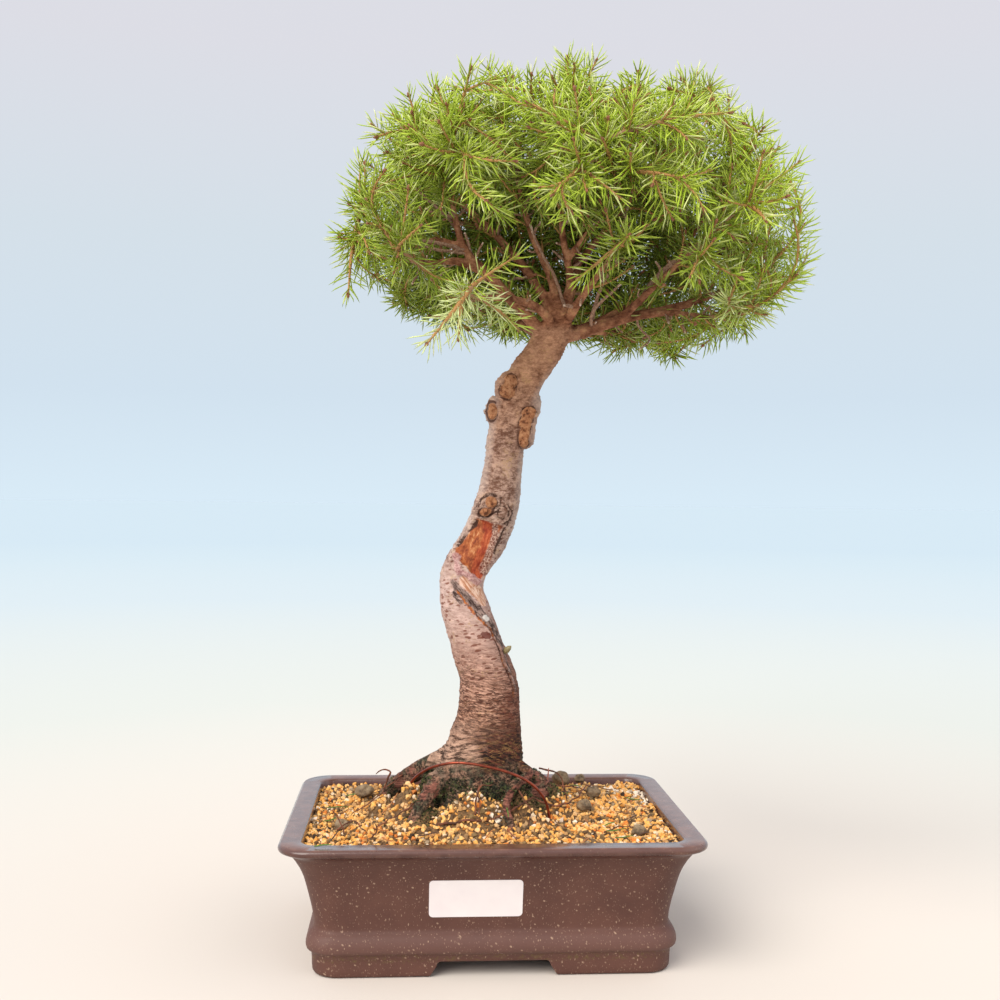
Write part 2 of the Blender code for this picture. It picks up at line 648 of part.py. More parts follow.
def clear_twig(start, heading, tip, owner, room, chance):
    """A twig to a tip, bent further each time it would come near another spray or limb."""
    length = (tip - start).length
    best, best_gap = None, -math.inf
    for attempt in range(8):
        sway = Vector([chance.uniform(-1, 1) for _ in range(3)]) * length * 0.07 * attempt
        points = bent(start, start + heading * length * 0.45 + sway, tip, TWIG_POINTS)
        away = points[0].lerp(points[1], 0.35)
        pieces = [(away, points[1]), *zip(points[1:], points[2:])]
        gap = min(room.clearance(*piece, TWIG_RADIUS, owner) for piece in pieces)
        if gap > best_gap:
            best, best_gap = points, gap
        if gap > TWIG_CLEARANCE:
            break
    return best


def spray_routes():
    """For each limb's end, the twigs of its spray: first the main one, then those that leave it."""
    chance = random.Random(CROWN_SEED)
    room = Room()
    limbs = {name: limb_route(name) for name in LIMBS}
    for name, (points, radii) in limbs.items():
        room.add(points, radii, name)
    share = {name: [] for name in LIMBS}
    for tip in shoot_tips():
        nearest = min(limbs, key=lambda name: (limbs[name][0][-1] - tip).length)
        share[nearest].append(tip)
    sprays = {}
    for name, tips in share.items():
        if not tips:
            continue
        points = limbs[name][0]
        heading = (points[-1] - points[-2]).normalized()
        foot = points[-1] + heading * SPRAY_GAP
        tips.sort(key=lambda tip: -(tip - foot).length)
        main = clear_twig(foot, heading, tips[0], name, room, chance)
        twigs = [main]
        for rank, tip in enumerate(tips[1:]):
            along = BRANCH_FIRST + (BRANCH_LAST - BRANCH_FIRST) * rank / max(len(tips) - 2, 1)
            along = (BRANCH_FIRST + BRANCH_LAST - along) * (TWIG_POINTS - 1)
            step = int(along)
            start = main[step].lerp(main[step + 1], along - step)
            forward = (main[step + 1] - main[step]).normalized()
            parting = forward.lerp((tip - start).normalized(), TWIG_PARTING).normalized()
            twigs.append(clear_twig(start, parting, tip, name, room, chance))
        for twig in twigs:
            room.add(twig, tapered(TWIG_RADIUS, SHOOT_RADIUS, TWIG_POINTS), name)
        sprays[name] = twigs
    return sprays, room


def length_of(points):
    return sum((b - a).length for a, b in zip(points, points[1:]))


def point_at(points, distance):
    """Place and direction at a distance along a route."""
    for a, b in zip(points, points[1:]):
        piece = (b - a).length
        if distance <= piece:
            return a.lerp(b, distance / piece), (b - a).normalized()
        distance -= piece
    return points[-1], (points[-1] - points[-2]).normalized()


def needle_mesh():
    """A three-sided needle along +Z, narrowing to its root at the origin."""
    bm = bmesh.new()
    bmesh.ops.create_cone(
        bm, cap_ends=True, segments=3, radius1=NEEDLE_RADIUS, radius2=0, depth=NEEDLE_LENGTH - NEEDLE_NECK,
        matrix=Matrix.Translation((0, 0, (NEEDLE_LENGTH + NEEDLE_NECK) / 2)),
    )
    base = min(bm.faces, key=lambda face: face.calc_center_median().z)
    root = bmesh.ops.poke(bm, faces=[base])["verts"][0]
    root.co.z = 0
    return mesh_of(bm, "needle")


def lay_needles(name, twigs, room, mesh, collection, chance):
    """Needles all round each shoot, leaning forward, with one straight out of the tip."""
    for number, twig in enumerate(twigs):
        total = length_of(twig)
        bare = max(total - SHOOT_LENGTH, total * 0.15)
        for index in range(NEEDLES_PER_SHOOT):
            share = index / (NEEDLES_PER_SHOOT - 1)
            at_tip = index == NEEDLES_PER_SHOOT - 1
            root, forward = point_at(twig, bare + (total - bare) * share - (TIP_SINK if at_tip else 0))
            side = forward.orthogonal().normalized()
            for attempt in range(NEEDLE_TRIES):
                lean = 0.06 if at_tip else NEEDLE_LEAN - math.radians(4) * attempt
                turn = index * GOLDEN_ANGLE + number + attempt * 0.5
                out = Matrix.Rotation(turn, 3, forward) @ side
                aim = (forward * math.cos(lean) + out * math.sin(lean)).normalized()
                length = NEEDLE_LENGTH * (0.75 if at_tip else chance.uniform(0.85, 1.08))
                tip = root + aim * length
                free = root.lerp(tip, 0.5 if at_tip else 0.3)
                clear = room.clearance(free, tip, NEEDLE_RADIUS) > NEEDLE_CLEARANCE
                if clear and room.clearance(root, free, NEEDLE_RADIUS, name) > NEEDLE_CLEARANCE:
                    room.add([free, tip], [NEEDLE_RADIUS], name)
                    needle = place("needle", mesh, collection)
                    turned = aim.to_track_quat("Z", "Y").to_matrix().to_4x4()
                    needle.matrix_world = (
                        Matrix.Translation(root) @ turned @ Matrix.Diagonal((1, 1, length / NEEDLE_LENGTH, 1))
                    )
                    break


def make_sprays(parts):
    """One piece for each limb's leafy end: brown twigs with their needles fused to them."""
    green = new_material("spruce_green", (0.16, 0.30, 0.05), 0.6)
    chance = random.Random(CROWN_SEED + 1)
    sprays, room = spray_routes()
    mesh = needle_mesh()
    for name, twigs in sprays.items():
        growth = new_collection(f"growth_{name}", parts)
        stems = []
        for index, twig in enumerate(twigs):
            radii = tapered(TWIG_RADIUS if index == 0 else 0.9 * TWIG_RADIUS, SHOOT_RADIUS, TWIG_POINTS)
            stems.append(tube(f"twig_{index}", twig, radii, 0, growth))
        main = stems[0]
        growth.objects.unlink(main)
        parts.objects.link(main)
        main.name = f"spray_{name}"
        lay_needles(name, twigs, room, mesh, growth, chance)
        boolean(main, "UNION", growth)
        planed(applied(main))
        main.data.materials.clear()
        main.data.materials.append(green)
        empty_out(growth)


def shade_round(obj, angle):
    obj.data.shade_smooth()
    obj.data.set_sharp_from_angle(angle=angle)


clear_scene()
bonsai = new_collection("spruce_bonsai", bpy.context.scene.collection)
cutter_shapes = new_collection("cutters", bpy.context.scene.collection)
cutter_shapes.hide_render = True
make_pot(bonsai, cutter_shapes)
make_label(bonsai)
make_screen("drain_screen_left", -DRAIN_X, bonsai)
make_screen("drain_screen_right", DRAIN_X, bonsai)
make_wire(bonsai)
make_trunk(bonsai, cutter_shapes)
make_soil(bonsai, cutter_shapes)
make_sprays(bonsai)
stand = bpy.data.objects.new("bonsai_stand", None)
stand.location = POT_PLACE
bonsai.objects.link(stand)
for piece in [*bonsai.objects, *cutter_shapes.objects]:
    if piece is not stand:
        piece.parent = stand
for piece in bonsai.objects:
    if piece.type == "MESH":
        shade_round(piece, math.radians(40))
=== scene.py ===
import math
import random

import bmesh
import bpy
import numpy
from mathutils import Matrix, Vector, noise


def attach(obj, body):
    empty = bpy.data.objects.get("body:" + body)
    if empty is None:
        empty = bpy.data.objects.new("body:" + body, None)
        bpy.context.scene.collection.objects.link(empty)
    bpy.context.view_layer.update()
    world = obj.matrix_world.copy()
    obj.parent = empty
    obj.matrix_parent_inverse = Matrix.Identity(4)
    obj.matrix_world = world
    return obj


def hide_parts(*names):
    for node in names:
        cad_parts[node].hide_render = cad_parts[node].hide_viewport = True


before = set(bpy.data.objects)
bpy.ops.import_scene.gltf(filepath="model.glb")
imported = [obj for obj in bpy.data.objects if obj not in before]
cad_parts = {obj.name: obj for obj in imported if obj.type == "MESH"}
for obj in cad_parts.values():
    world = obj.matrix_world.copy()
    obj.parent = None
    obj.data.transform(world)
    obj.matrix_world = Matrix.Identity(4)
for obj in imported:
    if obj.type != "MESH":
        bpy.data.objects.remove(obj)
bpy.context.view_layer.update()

# Camera. It stands 0.7 m before the pot, level, at half the tree's height and turned a little, with a
# normal lens, so that upright lines stay upright and the gravel shows inside the rim.
MM = 0.001
CAMERA_PLACE = Vector((-80.1, -708.6, 255.5)) * MM
CAMERA_TURN = math.radians(-3.96)
CAMERA_PITCH = math.radians(89.97)
CAMERA_ROLL = math.radians(0.64)
LENS = 43.03
camera = bpy.data.objects.new("camera", bpy.data.cameras.new("camera"))
camera.data.lens = LENS
camera.matrix_world = (
    Matrix.Translation(CAMERA_PLACE) @ Matrix.Rotation(CAMERA_TURN, 4, "Z")
    @ Matrix.Rotation(CAMERA_PITCH, 4, "X") @ Matrix.Rotation(CAMERA_ROLL, 4, "Z")
)
bpy.context.scene.collection.objects.link(camera)
bpy.context.scene.camera = camera

# Floor and light. A pale, seamless table top in a bright white room, with a large soft lamp from the upper
# left and a weaker one from the right. Neither belongs to the plant.
FLOOR_RADIUS = 60.0
FLOOR_FADE = 6.0
# The table's colours from the pot outwards: lighter and warmer round the pot as a painted pool of light, then
# bluer far off where it meets the room
FLOOR_STOPS = (
    (0.04, (0.71, 0.655, 0.595)), (0.14, (0.60, 0.632, 0.60)), (0.39, (0.518, 0.60, 0.638)),
    (0.73, (0.482, 0.583, 0.638)), (1.0, (0.464, 0.569, 0.635)),
)
ROOM_STOPS = (
    (0.0, (0.695, 0.83, 0.93)), (0.17, (0.645, 0.76, 0.863)), (0.42, (0.665, 0.745, 0.815)),
    (0.7, (0.72, 0.725, 0.785)),
)
LAMP_COLOUR = (1.0, 0.94, 0.86)
# Each lamp's name, aim, strength and width in degrees
LAMPS = (("key", (0.55, 0.62, -0.75), 3.2, 48), ("fill", (-0.75, 0.35, -0.45), 0.6, 70))


class Value:
    """A node's output that takes part in sums: an expression on it adds its own Math nodes."""

    def __init__(self, graph, socket):
        self.graph, self.socket = graph, socket

    def math(self, operation, *others, clamp=False):
        settings = {"operation": operation, "use_clamp": clamp}
        return self.graph.node("ShaderNodeMath", settings, dict(enumerate((self, *others))))

    def __add__(self, other):
        return self.math("ADD", other)

    __radd__ = __add__

    def __sub__(self, other):
        return self.math("SUBTRACT", other)

    def __rsub__(self, other):
        return self * -1 + other

    def __mul__(self, other):
        return self.math("MULTIPLY", other)

    __rmul__ = __mul__

    def __pow__(self, other):
        return self.math("POWER", other)

    def clamped(self):
        return self.math("ADD", 0.0, clamp=True)

    def between(self, low, high):
        """0 at low, 1 at high, and held there beyond them. High may lie under low."""
        return ((self - low) * (1 / (high - low))).clamped()


class Graph:
    """A node tree in the making."""

    def __init__(self, tree):
        self.tree = tree

    def node(self, kind, settings=None, inputs=None, output=0):
        """Adds a node, sets it, then gives each socket its value or link. Several outputs come as a list."""
        node = self.tree.nodes.new(kind)
        for name, value in (settings or {}).items():
            if name == "stops":
                ramp = node.color_ramp
                while len(ramp.elements) < len(value):
                    ramp.elements.new(1.0)
                for element, (place, colour) in zip(ramp.elements, value):
                    element.position = place
                    element.color = (*colour, 1)
            elif name == "interpolation" and kind == "ShaderNodeValToRGB":
                node.color_ramp.interpolation = value
            else:
                setattr(node, name, value)
        for key, value in (inputs or {}).items():
            socket = node.inputs[key]
            for item in value if isinstance(value, list) else [value]:
                if isinstance(item, Value):
                    self.tree.links.new(item.socket, socket)
                elif socket.type == "RGBA":
                    socket.default_value = (*item, 1)
                else:
                    socket.default_value = item
        if isinstance(output, list):
            return [Value(self, node.outputs[name]) for name in output]
        return Value(self, node.outputs[output])

    def stretched(self, vector, x, y, z):
        return self.node("ShaderNodeVectorMath", {"operation": "MULTIPLY"}, {0: vector, 1: (x, y, z)})

    def parts(self, vector):
        return self.node("ShaderNodeSeparateXYZ", None, {0: vector}, ["X", "Y", "Z"])

    def whole(self, x, y, z):
        return self.node("ShaderNodeCombineXYZ", None, {0: x, 1: y, 2: z})

    def mix(self, factor, first, second, blend="MIX"):
        settings = {"data_type": "RGBA", "blend_type": blend}
        return self.node("ShaderNodeMix", settings, {0: factor, 6: first, 7: second}, 2)


class Finish(Graph):
    """A material with one Principled shader, its patterns in millimetres of the piece's own space."""

    def __init__(self, name, **constants):
        self.material = bpy.data.materials.new(name)
        self.material.use_nodes = True
        super().__init__(self.material.node_tree)
        self.shader = self.tree.nodes["Principled BSDF"]
        for key, value in constants.items():
            self.shader.inputs[key.replace("_", " ").title().replace("Ior", "IOR")].default_value = value

    def place(self):
        """The place on the piece, in millimetres."""
        spot = self.node("ShaderNodeTexCoord", output="Object")
        return self.stretched(spot, 1 / MM, 1 / MM, 1 / MM)

    def noise(self, vector, size, detail=2.0, roughness=0.5):
        """Soft noise round 0.5 with lumps of a size in millimetres."""
        inputs = {"Vector": vector, "Scale": 1 / size, "Detail": detail, "Roughness": roughness}
        return self.node("ShaderNodeTexNoise", None, inputs)

    def cells(self, vector, size):
        """Distance from the middle of each cell, and a random colour for each."""
        inputs = {"Vector": vector, "Scale": 1 / size}
        return self.node("ShaderNodeTexVoronoi", None, inputs, ["Distance", "Color"])

    def ramp(self, factor, *stops, interpolation="LINEAR"):
        settings = {"interpolation": interpolation, "stops": stops}
        return self.node("ShaderNodeValToRGB", settings, {0: factor})

    def attribute(self, name, output="Fac"):
        return self.node("ShaderNodeAttribute", {"attribute_name": name}, None, output)

    def leaned(self, vector, *angles):
        return self.node("ShaderNodeMapping", None, {"Vector": vector, "Rotation": angles})

    def wear(self, colour=None, roughness=None, relief=None, depth=0.1):
        """Joins colour, roughness and relief to the shader. Depth is the relief's height in millimetres."""
        if colour:
            self.tree.links.new(colour.socket, self.shader.inputs["Base Color"])
        if roughness:
            self.tree.links.new(roughness.socket, self.shader.inputs["Roughness"])
        if relief:
            bump = self.node("ShaderNodeBump", None, {"Height": relief, "Distance": depth * MM})
            self.tree.links.new(bump.socket, self.shader.inputs["Normal"])
        return self.material


def put(name, mesh):
    """Links a mesh as an object."""
    obj = bpy.data.objects.new(name, mesh)
    bpy.context.scene.collection.objects.link(obj)
    return obj


def mesh_of(bm, name):
    mesh = bpy.data.meshes.new(name)
    bm.to_mesh(mesh)
    bm.free()
    return mesh


def piece(bm, name):
    """Links what was built as an object."""
    return put(name, mesh_of(bm, name))


bm = bmesh.new()
bmesh.ops.create_circle(bm, cap_ends=True, segments=96, radius=FLOOR_RADIUS)
floor = piece(bm, "floor")
table = Finish("pale_table", roughness=0.9, specular_ior_level=0.0)
away = table.node("ShaderNodeVectorMath", {"operation": "LENGTH"}, {0: table.place()}, "Value")
floor.data.materials.append(table.wear(table.ramp(away * (MM / FLOOR_FADE), *FLOOR_STOPS)))

room = bpy.data.worlds.new("bright_room")
room.use_nodes = True
bpy.context.scene.world = room
air = Graph(room.node_tree)
direction = air.node("ShaderNodeTexCoord", output="Generated")
rise = air.parts(direction)[2]
backdrop = room.node_tree.nodes["Background"]
shades = air.node("ShaderNodeValToRGB", {"stops": ROOM_STOPS}, {0: rise * 2})
air.tree.links.new(shades.socket, backdrop.inputs["Color"])
for name, aim, strength, spread in LAMPS:
    lamp = bpy.data.lights.new(name, "SUN")
    lamp.energy = strength
    lamp.color = LAMP_COLOUR
    lamp.angle = math.radians(spread)
    holder = bpy.data.objects.new(name, lamp)
    holder.rotation_mode = "QUATERNION"
    holder.rotation_quaternion = Vector(aim).to_track_quat("-Z", "Y")
    bpy.context.scene.collection.objects.link(holder)
bpy.context.scene.view_settings.view_transform = "Standard"

# Pot. A mould-pressed rectangle of dark brown stoneware, fired without glaze, with pale flecks of grog
# showing, a flared lip worn smooth, a bead over the feet, an arch in each side and two drain holes.
POT_PLACE = Vector((-36.5, -2.3, 0)) * MM
POT_LENGTH = 230
POT_DEPTH = 172
POT_CORNER = 18
INNER_CORNER = 13
LEAST_CORNER = 6
CORNER_EASE = 0.25
CORNER_STEPS = 12
SIDE_STEPS = 16
BASE_UNDERSIDE = 8.8
POT_FLOOR = 15
FOOT_RING = 30
ARCH_FRONT = (60, 70)
ARCH_SIDE = (46, 54)
ARCH_CORNER = 2.6
ARCH_FLARE = 0.6
ARCH_BELOW = -5.0
ARCH_STEPS = 6
DRAIN_X = 46
DRAIN_RADIUS = 9
DRAIN_SIDES = 48
OUTER_PROFILE = (
    (19.5, 0.0), (17.6, 2.0), (17.0, 11.2), (14.6, 14.2), (14.2, 18.0), (15.6, 22.0), (17.8, 24.6),
    (18.0, 28.0), (17.2, 34.0), (15.2, 43.0), (12.6, 53.0), (9.6, 60.0), (5.6, 66.2), (2.0, 68.4),
    (0.2, 69.6), (0.0, 71.6), (1.4, 73.1),
)
INNER_PROFILE = ((10.8, 73.1), (12.2, 71.8), (14.2, 64.0), (19.0, 50.0), (24.6, 30.0), (25.6, 15.0))
PROFILE_FINENESS = 3
# Layers of flecks in the clay: size of the cells, lean, and how strongly they show
FLECKS = ((1.0, 0.1, 0.4), (1.2, -0.2, 0.5), (1.5, 0.3, 0.6), (1.9, -0.1, 0.8), (3.0, 0.9, 0.9))


def smooth_route(points, count):
    """Points at even steps of a Catmull-Rom curve through points of any number of axes."""
    points = [Vector(point) for point in points]
    ends = [points[0] * 2 - points[1], *points, points[-1] * 2 - points[-2]]
    route = []
    for index in range(count):
        along = index / (count - 1) * (len(points) - 1)
        span = min(int(along), len(points) - 2)
        t = along - span
        a, b, c, d = ends[span:span + 4]
        square, cube = a * 2 - b * 5 + c * 4 - d, b * 3 - a - c * 3 + d
        route.append((b * 2 + (c - a) * t + square * t ** 2 + cube * t ** 3) / 2)
    return route


def smooth_profile(profile):
    return smooth_route(profile, (len(profile) - 1) * PROFILE_FINENESS + 1)


def pot_ring(inset, height, corner, clearance=0.0):
    """Points round one level of the pot, its corners easing as the wall draws in."""
    half_length = POT_LENGTH / 2 - inset - clearance
    half_depth = POT_DEPTH / 2 - inset - clearance
    eased = max(corner - inset * CORNER_EASE, LEAST_CORNER)
    arcs = []
    for quarter, (side_x, side_y) in enumerate(((1, 1), (-1, 1), (-1, -1), (1, -1))):
        centre = Vector((side_x * (half_length - eased), side_y * (half_depth - eased), height))
        turns = [(quarter + step / CORNER_STEPS) * math.pi / 2 for step in range(CORNER_STEPS + 1)]
        arcs.append([centre + Vector((math.cos(turn), math.sin(turn), 0)) * eased for turn in turns])
    ring = []
    for arc, following in zip(arcs, arcs[1:] + arcs[:1]):
        ring += arc
        ring += [arc[-1].lerp(following[0], step / SIDE_STEPS) for step in range(1, SIDE_STEPS)]
    return [point * MM for point in ring]


def join_rings(bm, rings):
    """Walls between rings of vertices, and a face over each end."""
    for lower, upper in zip(rings, rings[1:]):
        for index in range(len(lower)):
            after = (index + 1) % len(lower)
            bm.faces.new((lower[index], lower[after], upper[after], upper[index]))
    bm.faces.new(reversed(rings[0]))
    bm.faces.new(rings[-1])


def skin(rings, name):
    """A closed object through rings of points that run counterclockwise from above, from the first up."""
    bm = bmesh.new()
    join_rings(bm, [[bm.verts.new(point) for point in ring] for ring in rings])
    bmesh.ops.recalc_face_normals(bm, faces=bm.faces)
    return piece(bm, name)


def plain(obj):
    """Turns an object's modifiers into its mesh."""
    bpy.context.view_layer.update()
    graph = bpy.context.evaluated_depsgraph_get()
    mesh = bpy.data.meshes.new_from_object(obj.evaluated_get(graph))
    obj.modifiers.clear()
    obj.data = mesh
    return obj


def cut(obj, cutter, operation="DIFFERENCE"):
    """Cuts an object with another, which is used up."""
    modifier = obj.modifiers.new("Cut", "BOOLEAN")
    modifier.operation = operation
    modifier.solver = "EXACT"
    modifier.object = cutter
    plain(obj)
    bpy.data.objects.remove(cutter)


def drawn_bar(outline, reach, turn, name):
    """A long bar of the given outline, through the pot from face to face."""
    bm = bmesh.new()
    ends = [[bm.verts.new(Vector((x, y, z)) * MM) for x, z in outline] for y in (-reach, reach)]
    bm.faces.new(ends[0])
    bm.faces.new(reversed(ends[1]))
    for index in range(len(outline)):
        after = (index + 1) % len(outline)
        bm.faces.new((ends[0][after], ends[0][index], ends[1][index], ends[1][after]))
    bmesh.ops.rotate(bm, verts=bm.verts, matrix=Matrix.Rotation(turn, 3, "Z"))
    bmesh.ops.recalc_face_normals(bm, faces=bm.faces)
    return piece(bm, name)


def arch_outline(top, bottom):
    """The opening between two feet: sides that lean and round into the underside."""
    slope = (bottom - top) / 2 / BASE_UNDERSIDE
    right = [(bottom / 2 - slope * ARCH_BELOW, ARCH_BELOW)]
    for step in range(ARCH_STEPS + 1):
        turn = step / ARCH_STEPS * math.pi / 2
        reach = top / 2 - ARCH_CORNER * (1 - math.cos(turn)) + ARCH_FLARE
        right.append((reach, BASE_UNDERSIDE - ARCH_CORNER * (1 - math.sin(turn))))
    return right + [(-x, z) for x, z in reversed(right)]


def settle(obj, slot, *nodes):
    """Moves a finished piece to the pot's place, sets it on the part's body and hides the parts that it
    stands for; its slot is not used.
    """
    obj.data.transform(Matrix.Translation(POT_PLACE))
    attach(obj, "root")
    if nodes:
        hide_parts(*nodes)


outer_profile = smooth_profile(OUTER_PROFILE)
inner_profile = smooth_profile(INNER_PROFILE)
levels = [pot_ring(inset, height, POT_CORNER) for inset, height in outer_profile]
levels += [pot_ring(inset, height, INNER_CORNER) for inset, height in inner_profile]
pot = skin(levels, "pot_body")
bm = bmesh.new()
hollow = (POT_LENGTH - 2 * FOOT_RING, POT_DEPTH - 2 * FOOT_RING, 2 * BASE_UNDERSIDE)
bmesh.ops.create_cube(bm, size=MM, matrix=Matrix.Diagonal((*hollow, 1)))
cut(pot, piece(bm, "hollow"))
cut(pot, drawn_bar(arch_outline(*ARCH_FRONT), POT_DEPTH, 0, "arch_front"))
cut(pot, drawn_bar(arch_outline(*ARCH_SIDE), POT_LENGTH, math.pi / 2, "arch_side"))
for side in (-1, 1):
    bm = bmesh.new()
    bmesh.ops.create_cone(
        bm, cap_ends=True, segments=DRAIN_SIDES, radius1=DRAIN_RADIUS * MM, radius2=DRAIN_RADIUS * MM,
        depth=POT_FLOOR * MM, matrix=Matrix.Translation(Vector((side * DRAIN_X, 0, POT_FLOOR * 0.8)) * MM),
    )
    cut(pot, piece(bm, "drain"))
pot.data.shade_smooth()
pot.data.set_sharp_from_angle(angle=math.radians(38))

clay = Finish("flecked_clay", coat_roughness=0.2, specular_ior_level=0.35)
spot = clay.place()
z = clay.parts(spot)[2]
mottle = clay.noise(spot, 30, 4, 0.6)
tooth = clay.noise(spot, 1.1, 3, 0.6)
bead = z.between(10, 14) * z.between(26, 21)
lip = z.between(65.5, 69)
colour = clay.mix(mottle.between(0.35, 0.65), (0.086, 0.034, 0.025), (0.116, 0.048, 0.034))
# A painted sheen: the bead is painted lighter and more purple along its roll
colour = clay.mix(bead * 0.45, colour, (0.145, 0.073, 0.06))
burnish = lip * z.between(71.5, 70.5) * clay.noise(clay.stretched(spot, 1, 1, 0.2), 14, 2).between(0.45, 0.6)
# The very top of the lip is painted lighter: partly wear, partly a painted sheen
rim_top_wear_and_sheen = clay.mix(clay.noise(spot, 9, 3, 0.6).between(0.4, 0.6), (0.13, 0.052, 0.036), (0.23, 0.105, 0.07))
colour = clay.mix(z.between(72.3, 73.0) * 0.6, colour, rim_top_wear_and_sheen)
colour = clay.mix(burnish * 0.8, colour, (0.055, 0.016, 0.011))
flecks = 0.0
for size, lean, share in FLECKS:
    turned = clay.leaned(spot, lean, lean * 0.8, size)
    distance, chance = clay.cells(clay.stretched(turned, 1, 1, 0.45), size)
    luck = clay.parts(chance)[0]
    fleck = (luck.between(0.2, 0.5) * 0.19 - distance).between(0.0, 0.06)
    flecks = fleck * luck.between(0.1, 1.0) * share + flecks
flecks = flecks.clamped() * (1 - lip * 0.7)
colour = clay.mix(flecks * 0.66, colour, (0.50, 0.34, 0.23))
stain = z.between(7.5, 9.5) * z.between(15, 12) * clay.noise(spot, 2.2, 3, 0.7).between(0.52, 0.66)
colour = clay.mix(stain * 0.7, colour, (0.13, 0.085, 0.035))
sheen = clay.noise(spot, 5, 3).between(0.3, 0.7) * 0.08
roughness = 0.52 - lip * 0.26 - burnish * 0.1 + sheen + stain * 0.2
clay.tree.links.new((lip * (z.between(70.5, 72.2) * 0.5 + 0.4)).socket, clay.shader.inputs["Coat Weight"])
pot.data.materials.append(clay.wear(colour, roughness, tooth + flecks * 0.6, 0.09))
settle(pot, "unglazed_clay", "pot")

# Label. A blank white adhesive paper with rounded corners, pressed onto the front wall and bent to its
# hollow.
LABEL_LENGTH = 50
LABEL_X = -10
LABEL_LOW = 32.5
LABEL_HIGH = 53.5
LABEL_CORNER = 2.2
LABEL_THICKNESS = 0.25
LABEL_LIFT = 0.03
LABEL_COLUMNS = 24
LABEL_ROWS = 28


def wall_place(height):
    """How far the pot's front wall stands before its middle at a height."""
    for low, high in zip(outer_profile, outer_profile[1:]):
        if low.y <= height <= high.y and high.y > low.y:
            return POT_DEPTH / 2 - low.x - (high.x - low.x) * (height - low.y) / (high.y - low.y)
    return POT_DEPTH / 2


def two_tone(name, low, high, patch, tooth=None, span=(0.35, 0.65), gloss=None, depth=0.3, **constants):
    """A finish of two colours in soft patches over fine relief. Patch and tooth give a noise's size, detail
    and roughness, span where the patches turn, and gloss the least roughness and its rise."""
    finish = Finish(name, **constants)
    spot = finish.place()
    soft = finish.noise(spot, *patch)
    fine = finish.noise(spot, *tooth) if tooth else soft
    dull = soft * gloss[1] + gloss[0] if gloss else None
    return finish.wear(finish.mix(soft.between(*span), low, high), dull, fine, depth)


bm = bmesh.new()
bmesh.ops.create_grid(bm, x_segments=LABEL_COLUMNS, y_segments=LABEL_ROWS, size=0.5)
for vert in bm.verts:
    height = LABEL_LOW + (0.5 - math.cos((vert.co.y + 0.5) * math.pi) / 2) * (LABEL_HIGH - LABEL_LOW)
    into_corner = max(LABEL_CORNER - min(height - LABEL_LOW, LABEL_HIGH - height), 0)
    drawn_in = LABEL_CORNER - math.sqrt(max(LABEL_CORNER ** 2 - into_corner ** 2, 0))
    across = vert.co.x * (LABEL_LENGTH - 2 * drawn_in)
    vert.co = Vector((LABEL_X + across, -wall_place(height) - LABEL_LIFT, height)) * MM
bmesh.ops.remove_doubles(bm, verts=bm.verts, dist=0.001 * MM)
if sum(face.normal.y for face in bm.faces) > 0:
    bmesh.ops.reverse_faces(bm, faces=bm.faces)
label = piece(bm, "blank_label")
sheet = label.modifiers.new("Sheet", "SOLIDIFY")
sheet.thickness = LABEL_THICKNESS * MM
sheet.offset = 1
plain(label)
label.data.shade_smooth()
label.data.set_sharp_from_angle(angle=math.radians(40))
label.data.materials.append(two_tone(
    "label_paper", (0.80, 0.73, 0.73), (0.84, 0.78, 0.77), patch=(12, 2), tooth=(0.7, 3), span=(0.3, 0.7),
    gloss=(0.36, 0.1), depth=0.02, roughness=0.4,
))
settle(label, "label_paper", "label")

# Drain screens. Squares cut from moulded black plastic netting, laid loose over the two drain holes to hold
# the gravel in, and kept there by its weight.
SCREEN_SIDE = 26
SCREEN_CELLS = 9
SCREEN_LOW = POT_FLOOR + 0.3
STRAND = 1.1
netting_black = two_tone(
    "drain_netting", (0.012, 0.012, 0.012), (0.03, 0.028, 0.026), patch=(1.5, 3), span=(0, 1),
    gloss=(0.4, 0.25), depth=0.05, roughness=0.5,
)
for side, name in ((-1, "left"), (1, "right")):
    middle = Vector((side * DRAIN_X, 0, SCREEN_LOW + STRAND / 2)) * MM
    bm = bmesh.new()
    bmesh.ops.create_grid(
        bm, x_segments=SCREEN_CELLS, y_segments=SCREEN_CELLS, size=(SCREEN_SIDE / 2 - STRAND / 2) * MM,
        matrix=Matrix.Translation(middle),
    )
    screen = put(f"netting_{name}", mesh_of(bm, "netting"))
    net = screen.modifiers.new("Net", "WIREFRAME")
    net.thickness = STRAND * MM
    net.use_even_offset = False
    plain(screen)
    screen.data.materials.clear()
    screen.data.materials.append(netting_black)
    settle(screen, "screen_plastic", f"drain_screen_{name}")

# Tie wire. One length of copper, gone red-brown, that comes up through one drain hole, is drawn over the
# roots and goes down through the other, with both ends bent flat under the base.
WIRE_RADIUS = 0.8
WIRE_SIDES = 12
WIRE_STEPS = 200
TIP_REACH = 0.6
TIP_RADIUS = 0.55
WIRE_ROUTE = (
    (-60, -4.6, 7.2), (-54, -4.6, 7.2), (-51.2, -4.6, 8.6), (-50.4, -4.6, 12), (-50.4, -4.6, 20),
    (-51, -6, 42), (-52, -9, 64), (-50, -10, 80), (-45, -14, 92), (-38.5, -22, 99.5), (-31, -30, 104.5),
    (-20, -36, 107.5), (-6, -38.5, 106.5), (8, -39, 103), (19, -38, 98), (27, -36, 91), (31.5, -33, 83),
    (34, -29, 72), (39, -19, 55), (42, -9, 38), (41.6, -4.6, 20), (41.6, -4.6, 12), (42.4, -4.6, 8.6),
    (45.2, -4.6, 7.2), (51, -4.6, 7.2),
)


